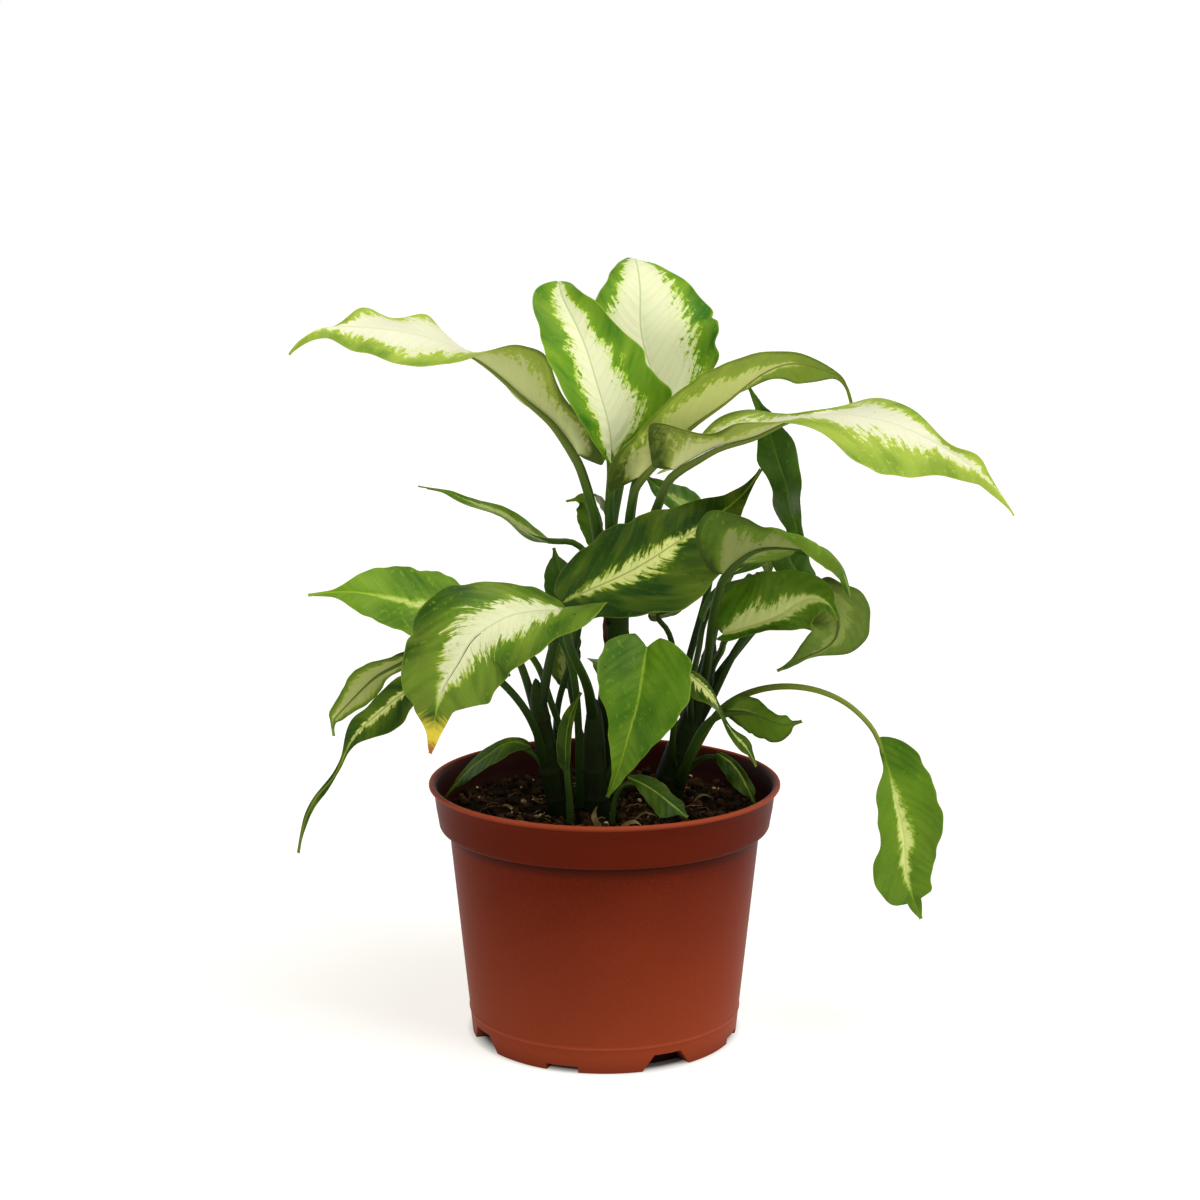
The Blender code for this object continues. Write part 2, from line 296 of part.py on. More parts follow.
        wide=(19, 19), shape=(0.5, 0.8), wave=((1, 1), 2.2, 0.1), lobe=(0, 0)),
    "leaf_back_low": dict(
        carrier="soil", stem=(1.7, 1.3), stalk=[(3, 17, 76), (3, 20, 100), (4, 30, 118), (5, 42, 130),
        (6, 52, 134)], rib=[(6, 52, 134), (8, 64, 136), (9, 76, 132), (9, 88, 122), (8, 96, 108)],
        face=[(0, -0.3, 0.95), (0, 0.2, 0.95), (0, 0.8, 0.5)], fold=[(10, 10)], wide=(16, 16),
        shape=(0.5, 0.8), wave=((1, 1), 2.2, 0.2), lobe=(0, 0)),
}


def clear_scene():
    for item in list(bpy.data.objects):
        bpy.data.objects.remove(item, do_unlink=True)


def new_collection(name):
    collection = bpy.data.collections.new(name)
    bpy.context.scene.collection.children.link(collection)
    return collection


def new_material(name, colour, roughness):
    material = bpy.data.materials.new(name)
    material.use_nodes = True
    shader = material.node_tree.nodes["Principled BSDF"]
    shader.inputs["Base Color"].default_value = (*colour, 1.0)
    shader.inputs["Roughness"].default_value = roughness
    shader.inputs["Metallic"].default_value = 0.0
    return material


def new_object(name, mesh, collection):
    item = bpy.data.objects.new(name, mesh)
    collection.objects.link(item)
    return item


def remove_object(item):
    mesh = item.data
    bpy.data.objects.remove(item, do_unlink=True)
    bpy.data.meshes.remove(mesh)


def evaluated_mesh(item):
    bpy.context.view_layer.update()
    graph = bpy.context.evaluated_depsgraph_get()
    return bpy.data.meshes.new_from_object(item.evaluated_get(graph))


# Turns an object's modifiers into its own mesh.
def apply_modifiers(item):
    rough = item.data
    item.data = evaluated_mesh(item)
    item.modifiers.clear()
    bpy.data.meshes.remove(rough)


# Joins a helper object to a piece, or cuts it away, and removes the helper. The MANIFOLD solver is
# for a folded blade, whose narrow base the EXACT one can leave open.
def combine(item, helper, operation, solver="EXACT"):
    modifier = item.modifiers.new(operation.lower(), "BOOLEAN")
    modifier.operation = operation
    modifier.solver = solver
    modifier.object = helper
    apply_modifiers(item)
    remove_object(helper)


def finish_piece(item, material, angle):
    item.data.materials.clear()
    item.data.materials.append(material)
    item.data.shade_smooth()
    item.data.set_sharp_from_angle(angle=math.radians(angle))


# Closes a mesh's loose seams and turns all its faces outward.
def weld(mesh, distance):
    shape = bmesh.new()
    shape.from_mesh(mesh)
    bmesh.ops.remove_doubles(shape, verts=shape.verts, dist=distance * MM)
    bmesh.ops.recalc_face_normals(shape, faces=shape.faces)
    shape.to_mesh(mesh)
    shape.free()


# A natural cubic curve through points, read where its length, or its count of steps, says.
def natural_curve(points, where, even=False):
    points = np.array(points, float)
    last = len(points) - 1
    if last == 0:
        return np.repeat(points, len(where), axis=0)
    if even:
        knots = np.linspace(0.0, 1.0, last + 1)
    else:
        knots = np.concatenate([[0.0], np.cumsum(np.linalg.norm(np.diff(points, axis=0), axis=1))])
        knots = knots / knots[-1]
    span = np.diff(knots)
    matrix = np.eye(last + 1)
    target = np.zeros_like(points)
    for i in range(1, last):
        matrix[i, i - 1:i + 2] = span[i - 1] / 6, (span[i - 1] + span[i]) / 3, span[i] / 6
        target[i] = (points[i + 1] - points[i]) / span[i] - (points[i] - points[i - 1]) / span[i - 1]
    bend = np.linalg.solve(matrix, target)
    where = np.asarray(where, float)
    j = np.clip(np.searchsorted(knots, where, "right") - 1, 0, last - 1)
    before = ((knots[j + 1] - where) / span[j])[:, None]
    after = 1.0 - before
    cubic = (before ** 3 - before) * bend[j] + (after ** 3 - after) * bend[j + 1]
    return before * points[j] + after * points[j + 1] + cubic * span[j][:, None] ** 2 / 6


def unit(vectors):
    return vectors / np.linalg.norm(vectors, axis=1, keepdims=True)


def route_length(points):
    return np.linalg.norm(np.diff(np.array(points, float), axis=0), axis=1).sum()


# A round tube along points, with a radius at each of them and closed ends.
def make_tube(name, points, radii, resolution, collection):
    curve = bpy.data.curves.new(name, "CURVE")
    curve.dimensions = "3D"
    curve.bevel_depth = MM
    curve.bevel_resolution = resolution
    curve.use_fill_caps = True
    line = curve.splines.new("POLY")
    line.points.add(len(points) - 1)
    for point, place, radius in zip(line.points, points, radii):
        point.co = (*(c * MM for c in place), 1.0)
        point.radius = radius
    guide = new_object(name + "_guide", curve, collection)
    mesh = evaluated_mesh(guide)
    weld(mesh, 0.001)
    tube = new_object(name, mesh, collection)
    tube.matrix_world = guide.matrix_world
    bpy.data.objects.remove(guide, do_unlink=True)
    bpy.data.curves.remove(curve)
    return tube


# A solid turned round Z from a profile that runs down its outer side.
def make_turned(name, profile, steps, collection):
    mesh = bpy.data.meshes.new(name)
    outline = [(radius * MM, 0.0, height * MM) for radius, height in profile]
    mesh.from_pydata(outline, [(i, i + 1) for i in range(len(outline) - 1)], [])
    item = new_object(name, mesh, collection)
    screw = item.modifiers.new("turn", "SCREW")
    screw.steps = steps
    screw.render_steps = steps
    screw.use_merge_vertices = True
    screw.merge_threshold = 0.00001
    apply_modifiers(item)
    return item


# A block standing on Z from foot to top, with its own width at each, turned round Z from the front.
def make_block(name, turn, inner, outer, foot, top, foot_width, top_width, collection):
    mesh = bpy.data.meshes.new(name)
    shape = bmesh.new()
    bmesh.ops.create_cube(shape, size=1.0)
    for vertex in shape.verts:
        high = vertex.co.z > 0
        width = top_width if high else foot_width
        across = vertex.co.x * width
        along = outer if vertex.co.y < 0 else inner
        height = top if high else foot
        vertex.co = (across * MM, -along * MM, height * MM)
    shape.to_mesh(mesh)
    shape.free()
    item = new_object(name, mesh, collection)
    item.rotation_euler.z = math.radians(turn)
    return item


# The canes, and a slightly larger copy of each that is cut from what grows out of it.
def cane_route(cane, widen, lengthen):
    steps = max(4, round(route_length(cane["points"]) / 14))
    where = np.linspace(0.0, 1.0, steps + 1)
    places = natural_curve(cane["points"], where)
    radii = natural_curve([[r] for r in cane["radii"]], where, even=True)[:, 0] + widen
    foot = places[0] - unit(places[1:2] - places[:1])[0] * lengthen
    top = places[-1] + unit(places[-1:] - places[-2:-1])[0] * lengthen
    places[0] = foot
    places[-1] = top
    return places, radii


def make_canes(plant, cutters, material):
    rooms = {}
    for name, cane in CANES.items():
        places, radii = cane_route(cane, 0.0, 0.0)
        item = make_tube(name, places, radii, 2, plant)
        finish_piece(item, material, 40)
        places, radii = cane_route(cane, ROOM, ROOM)
        rooms[name] = make_tube(name + "_room", places, radii, 2, cutters)
    return rooms


# The outline's half width at u, from 0 at the base to 1 at the tip: a power curve and a drip tip.
def outline_width(leaf, u):
    base_power, tip_power = leaf["shape"]
    drip_length, drip_width = leaf.get("drip", (0.12, 0.14))
    peak = base_power / (base_power + tip_power)
    top = peak ** base_power * (1.0 - peak) ** tip_power
    x = np.clip(u / (1.0 - drip_length), 0.0, 1.0)
    body = x ** base_power * (1.0 - x) ** tip_power / top
    drip = np.clip((1.0 - u) / drip_length, 0.0, 1.0) ** 0.8 * np.clip(u / peak - 0.5, 0.0, 1.0)
    return np.hypot(body, drip_width * drip)


# The midrib's places with the blade's own directions there: along, out of the upper side, to the right.
def rib_frame(leaf, u):
    rib = natural_curve(leaf["rib"], u)
    ahead = natural_curve(leaf["rib"], np.clip(u + 0.001, 0.0, 1.0))
    behind = natural_curve(leaf["rib"], np.clip(u - 0.001, 0.0, 1.0))
    along = unit(ahead - behind)
    face = natural_curve(leaf["face"], u, even=True)
    normal = unit(face - (face * along).sum(axis=1, keepdims=True) * along)
    return rib, along, normal, np.cross(along, normal)


# How far the outer third of a half bends over underneath.
def rolled_edge(leaf, u, right, reach):
    depth, start, full = leaf.get("roll", PLAIN_ROLL)
    outer = np.clip((reach - ROLL_START) / (1.0 - ROLL_START), 0.0, 1.0) ** 2
    return outer * np.clip((u - start) / (full - start), 0.0, 1.0) * np.array(depth, float)[right]


# The blade's middle surface: u runs from base to tip, v from -1 at the left margin to 1 at the right.
def blade_places(leaf, u, v):
    rib, along, normal, side = rib_frame(leaf, u)
    right = (v > 0).astype(int)
    reach = np.abs(v)
    width = outline_width(leaf, u)
    fold = np.radians(natural_curve(leaf["fold"], u, even=True))[np.arange(len(u)), right]
    stretch = natural_curve(np.transpose(leaf.get("margin", PLAIN_MARGIN)), u, even=True)
    stretch = stretch[np.arange(len(u)), right]
    half = np.maximum(width * stretch * np.array(leaf["wide"])[right], NARROWEST_HALF)
    amount, count, phase = leaf["wave"]
    ripple = np.sin(2.0 * math.pi * (count * u + phase + 0.37 * right))
    rise = np.sin(fold) * reach * half
    rise += np.array(amount)[right] * reach ** 1.6 * ripple * np.minimum(1.0, 2.5 * width)
    back = np.array(leaf["lobe"])[right] * reach ** 2 * (1.0 - u) ** 6 * np.minimum(1.0, 4.0 * width)
    across = np.sign(v) * np.cos(fold) * reach * half
    bent = rolled_edge(leaf, u, right, reach) * np.minimum(1.0, 2.0 * width)
    rise -= bent
    across -= np.sign(v) * ROLL_PULL * bent
    return rib + side * across[:, None] + normal * rise[:, None] - along * back[:, None]


def make_blade(name, leaf, collection):
    large = max(leaf["wide"]) > LARGE_LEAF_WIDTH
    along, across = LARGE_LEAF_GRID if large else SMALL_LEAF_GRID
    shape = bmesh.new()
    bmesh.ops.create_grid(shape, x_segments=along, y_segments=across, size=1.0)
    flat = np.array([vertex.co for vertex in shape.verts])
    places = blade_places(leaf, (flat[:, 0] + 1.0) / 2.0, flat[:, 1]) * MM
    for vertex, place in zip(shape.verts, places):
        vertex.co = place
    bmesh.ops.triangulate(shape, faces=shape.faces)
    mesh = bpy.data.meshes.new(name)
    shape.to_mesh(mesh)
    shape.free()
    item = new_object(name, mesh, collection)
    thickness = item.modifiers.new("thickness", "SOLIDIFY")
    thickness.thickness = BLADE_THICKNESS * MM
    thickness.offset = 0.0
    thickness.use_quality_normals = True
    apply_modifiers(item)
    return item


def stalk_steps(leaf):
    return max(3, round(route_length(leaf["stalk"]) / STALK_STEP))


# The stalk, which runs on under the blade as its midrib and thins out.
def make_stalk(name, leaf, collection):
    foot_radius, blade_radius = leaf["stem"]
    steps = stalk_steps(leaf)
    stalk = natural_curve(leaf["stalk"], np.linspace(0.0, 1.0, steps + 1))
    stalk_radii = np.linspace(foot_radius, blade_radius, steps + 1)
    u = np.linspace(0.0, MIDRIB_LENGTH, 3)[1:]
    rib, along, normal, side = rib_frame(leaf, u)
    rib_radii = blade_radius + (MIDRIB_TIP_RADIUS - blade_radius) * u / MIDRIB_LENGTH
    rib = rib - normal * rib_radii[:, None] * 0.9
    places = np.concatenate([stalk, rib])
    return make_tube(name + "_stalk", places, np.concatenate([stalk_radii, rib_radii]), 1, collection)


def make_leaves(plant, cutters, rooms, material):
    for name, leaf in LEAVES.items():
        item = make_blade(name, leaf, plant)
        combine(item, make_stalk(name, leaf, cutters), "UNION", "MANIFOLD")
        if leaf["carrier"] in rooms:
            room = rooms[leaf["carrier"]]
            combine(item, new_object(name + "_room", room.data.copy(), cutters), "DIFFERENCE")
        finish_piece(item, material, 50)


# The pot's inner side, from the middle of its floor up to the lip.
def inner_profile():
    return [
        (0.0, FLOOR),
        (FOOT_RADIUS - WALL, FLOOR),
        (BODY_TOP_RADIUS - WALL, BODY_TOP),
        (BODY_TOP_RADIUS - WALL + 0.5, BODY_TOP + 3.0),
        (COLLAR_FOOT_RADIUS - WALL, COLLAR_FOOT + 1.5),
        (COLLAR_TOP_RADIUS - WALL, POT_HEIGHT - LIP_THICKNESS),
    ]


def outer_profile():
    lip_middle = POT_HEIGHT - LIP_THICKNESS / 2
    return [
        (LIP_RADIUS - 2.4, POT_HEIGHT - 0.4),
        (LIP_RADIUS - 1.5, POT_HEIGHT),
        (LIP_RADIUS - 0.5, POT_HEIGHT - 0.3),
        (LIP_RADIUS, lip_middle),
        (LIP_RADIUS - 0.5, POT_HEIGHT - LIP_THICKNESS + 0.2),
        (COLLAR_TOP_RADIUS, POT_HEIGHT - LIP_THICKNESS - 0.2),
        (COLLAR_FOOT_RADIUS, COLLAR_FOOT),
        (COLLAR_FOOT_RADIUS - 0.8, COLLAR_FOOT - 1.2),
        (BODY_TOP_RADIUS + 0.4, BODY_TOP + 1.5),
        (BODY_TOP_RADIUS, BODY_TOP),
        (FOOT_RADIUS, 0.0),
        (0.0, 0.0),
    ]


# The eight places round the foot: turn, width at the foot and at the top, and height.
def foot_places():
    places = []
    for quarter in range(4):
        tall = (POCKET_TURN + 90 * quarter, POCKET_WIDTH_FOOT, POCKET_WIDTH_TOP, POCKET_HEIGHT)
        low = (SLOT_TURN + 90 * quarter, SLOT_WIDTH, SLOT_WIDTH, SLOT_HEIGHT)
        places += [tall, low]
    return places


# The walls inside the pot that close its pockets, and, larger by the room, what they take from the soil.
def pocket_wall(name, place, extra, collection):
    turn, foot_width, top_width, height = place
    width = foot_width + 2 * (WALL + extra)
    inner = POCKET_DEPTH_RADIUS - WALL - extra
    outer = math.sqrt((FOOT_RADIUS - WALL / 2 + extra) ** 2 - (width / 2) ** 2)
    top = height + WALL + extra
    top_outer_width = top_width + 2 * (WALL + extra)
    return make_block(name, turn, inner, outer, FLOOR / 2, top, width, top_outer_width, collection)


def pocket_opening(name, place, collection):
    turn, foot_width, top_width, height = place
    slope = (foot_width - top_width) / height
    return make_block(name, turn, POCKET_DEPTH_RADIUS, LIP_RADIUS, -1.0, height,
                      foot_width + slope, top_width, collection)


def drain_hole(name, turn, collection):
    mesh = bpy.data.meshes.new(name)
    shape = bmesh.new()
    bmesh.ops.create_cone(shape, cap_ends=True, segments=16, radius1=DRAIN_HOLE_RADIUS * MM,
                          radius2=DRAIN_HOLE_RADIUS * MM, depth=6 * MM)
    shape.to_mesh(mesh)
    shape.free()
    item = new_object(name, mesh, collection)
    middle = (POCKET_DEPTH_RADIUS + FOOT_RADIUS - WALL) / 2 - 0.5
    angle = math.radians(turn - 90)
    item.location = (middle * MM * math.cos(angle), middle * MM * math.sin(angle), POCKET_HEIGHT * MM)
    return item


def make_pot(plant, cutters, material):
    pot = make_turned("pot", inner_profile() + outer_profile(), POT_STEPS, plant)
    for number, place in enumerate(foot_places()):
        combine(pot, pocket_wall(f"pocket_wall_{number}", place, 0.0, cutters), "UNION")
    for number, place in enumerate(foot_places()):
        combine(pot, pocket_opening(f"pocket_{number}", place, cutters), "DIFFERENCE")
    for quarter in range(4):
        hole = drain_hole(f"drain_{quarter}", POCKET_TURN + 90 * quarter, cutters)
        combine(pot, hole, "DIFFERENCE")
    weld(pot.data, 0.002)
    finish_piece(pot, material, 30)


# The soil fills the pot up to its uneven top, clear of the walls by the room.
def soil_profile():
    inner = inner_profile()
    neck = inner[4]
    lip = inner[5]
    share = (SOIL_TOP - neck[1]) / (lip[1] - neck[1])
    edge = neck[0] + share * (lip[0] - neck[0])
    top = [(0.0, SOIL_TOP + 0.8)] + [(edge * share, SOIL_TOP + 0.5) for share in (0.25, 0.5, 0.75)]
    side = [(edge - ROOM, SOIL_TOP - 0.5)] + [(x - ROOM, z) for x, z in reversed(inner[1:5])]
    side[-1] = (inner[1][0] - ROOM, FLOOR + ROOM)
    return top + side + [(0.0, FLOOR + ROOM)]


def roughen_top(item):
    for vertex in item.data.vertices:
        x, y, z = vertex.co / MM
        if z > SOIL_TOP + 0.2:
            wave = math.sin(0.21 * x + 1.0) * math.cos(0.17 * y) + 0.5 * math.sin(0.43 * y - 0.3 * x)
            vertex.co.z = (z + SOIL_UNEVENNESS * wave) * MM


def make_soil(plant, cutters, rooms, material):
    soil = make_turned("soil", soil_profile(), SOIL_STEPS, plant)
    roughen_top(soil)
    for number, place in enumerate(foot_places()):
        combine(soil, pocket_wall(f"soil_pocket_{number}", place, ROOM, cutters), "DIFFERENCE")
    for room in rooms.values():
        combine(soil, room, "DIFFERENCE")
    for name, leaf in LEAVES.items():
        if leaf["carrier"] == "soil":
            steps = stalk_steps(leaf)
            route = natural_curve(leaf["stalk"], np.linspace(0.0, 1.0, steps + 1))[:3]
            route[0, 2] -= ROOM
            radii = np.linspace(*leaf["stem"], steps + 1)[:3] + ROOM
            combine(soil, make_tube(name + "_hole", route, radii, 1, cutters), "DIFFERENCE")
    weld(soil.data, 0.002)
    finish_piece(soil, material, 30)


def main():
    clear_scene()
    plant = new_collection("potted_dieffenbachia")
    cutters = new_collection("cutters")
    terracotta = new_material("terracotta_plastic", (0.22, 0.033, 0.013), 0.45)
    earth = new_material("potting_soil", (0.018, 0.010, 0.006), 0.95)
    bark = new_material("green_cane", (0.035, 0.070, 0.012), 0.55)
    green = new_material("leaf", (0.16, 0.30, 0.05), 0.45)
    rooms = make_canes(plant, cutters, bark)
    make_leaves(plant, cutters, rooms, green)
    make_soil(plant, cutters, rooms, earth)
    make_pot(plant, cutters, terracotta)


main()
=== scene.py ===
import math

import bpy
import numpy as np
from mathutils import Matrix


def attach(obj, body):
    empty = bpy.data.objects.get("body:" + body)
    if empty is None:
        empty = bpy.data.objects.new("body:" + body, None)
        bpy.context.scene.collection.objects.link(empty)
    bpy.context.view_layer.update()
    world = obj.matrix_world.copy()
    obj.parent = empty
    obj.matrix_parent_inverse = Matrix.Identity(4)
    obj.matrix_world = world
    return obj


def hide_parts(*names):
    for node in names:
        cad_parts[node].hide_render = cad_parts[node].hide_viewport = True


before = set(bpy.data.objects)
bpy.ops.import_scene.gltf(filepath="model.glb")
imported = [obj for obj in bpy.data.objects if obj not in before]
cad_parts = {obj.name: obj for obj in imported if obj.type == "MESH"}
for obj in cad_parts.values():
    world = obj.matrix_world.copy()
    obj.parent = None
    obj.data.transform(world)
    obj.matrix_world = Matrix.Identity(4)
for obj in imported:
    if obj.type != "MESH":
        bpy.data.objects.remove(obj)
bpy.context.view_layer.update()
mm = 0.001

# Every place below is in millimetres, and +Z is up with the front towards -Y. The tables have the
# part's own numbers, changed a little on a few leaves. Not all of them were set by hand: on the 22
# leaves with a long margin list, a separate script fitted fold and margin by least squares to edge
# points read off the photo. For a leaf, look names its colouring, and cream is the share of each half
# that the pale centre takes, at even steps from base to tip. stem is the stalk's radius at its foot and
# at the blade, and stalk and rib are the points that the stalk and then the midrib pass through. face is
# the way the upper side faces, fold the degrees by which the left and right half lift, wide their half
# widths, and shape the powers p and q of the outline. wave is the height on each half, the count and the
# phase of the edge's waves, and lobe is how far each half reaches back at the base. bladeSurface tells
# the rest.
canes = {
    "cane_main": dict(
        points=[(-1, 6, 52), (0, 6, 95), (2, 5, 130), (5, 3, 165), (4, 1, 190)],
        radii=(6.2, 6.0, 5.4, 4.8, 4.2)),
    "cane_centre": dict(
        points=[(-2, -9, 54), (-3, -9, 92), (-4, -9, 115), (-4, -8, 138)],
        radii=(5.2, 5.2, 4.6, 3.4)),
    "cane_left": dict(
        points=[(-16, -5, 56), (-18, -6, 91), (-22, -7, 112), (-25, -8, 129), (-27, -9, 146)],
        radii=(4.6, 4.6, 4.4, 4.0, 3.0)),
    "cane_right": dict(
        points=[(24, 10, 52), (26, 10, 97), (31, 9, 114), (37, 8, 131), (41, 6, 148), (43, 5, 160)],
        radii=(7.0, 7.0, 6.5, 5.4, 4.0, 3.0)),
}

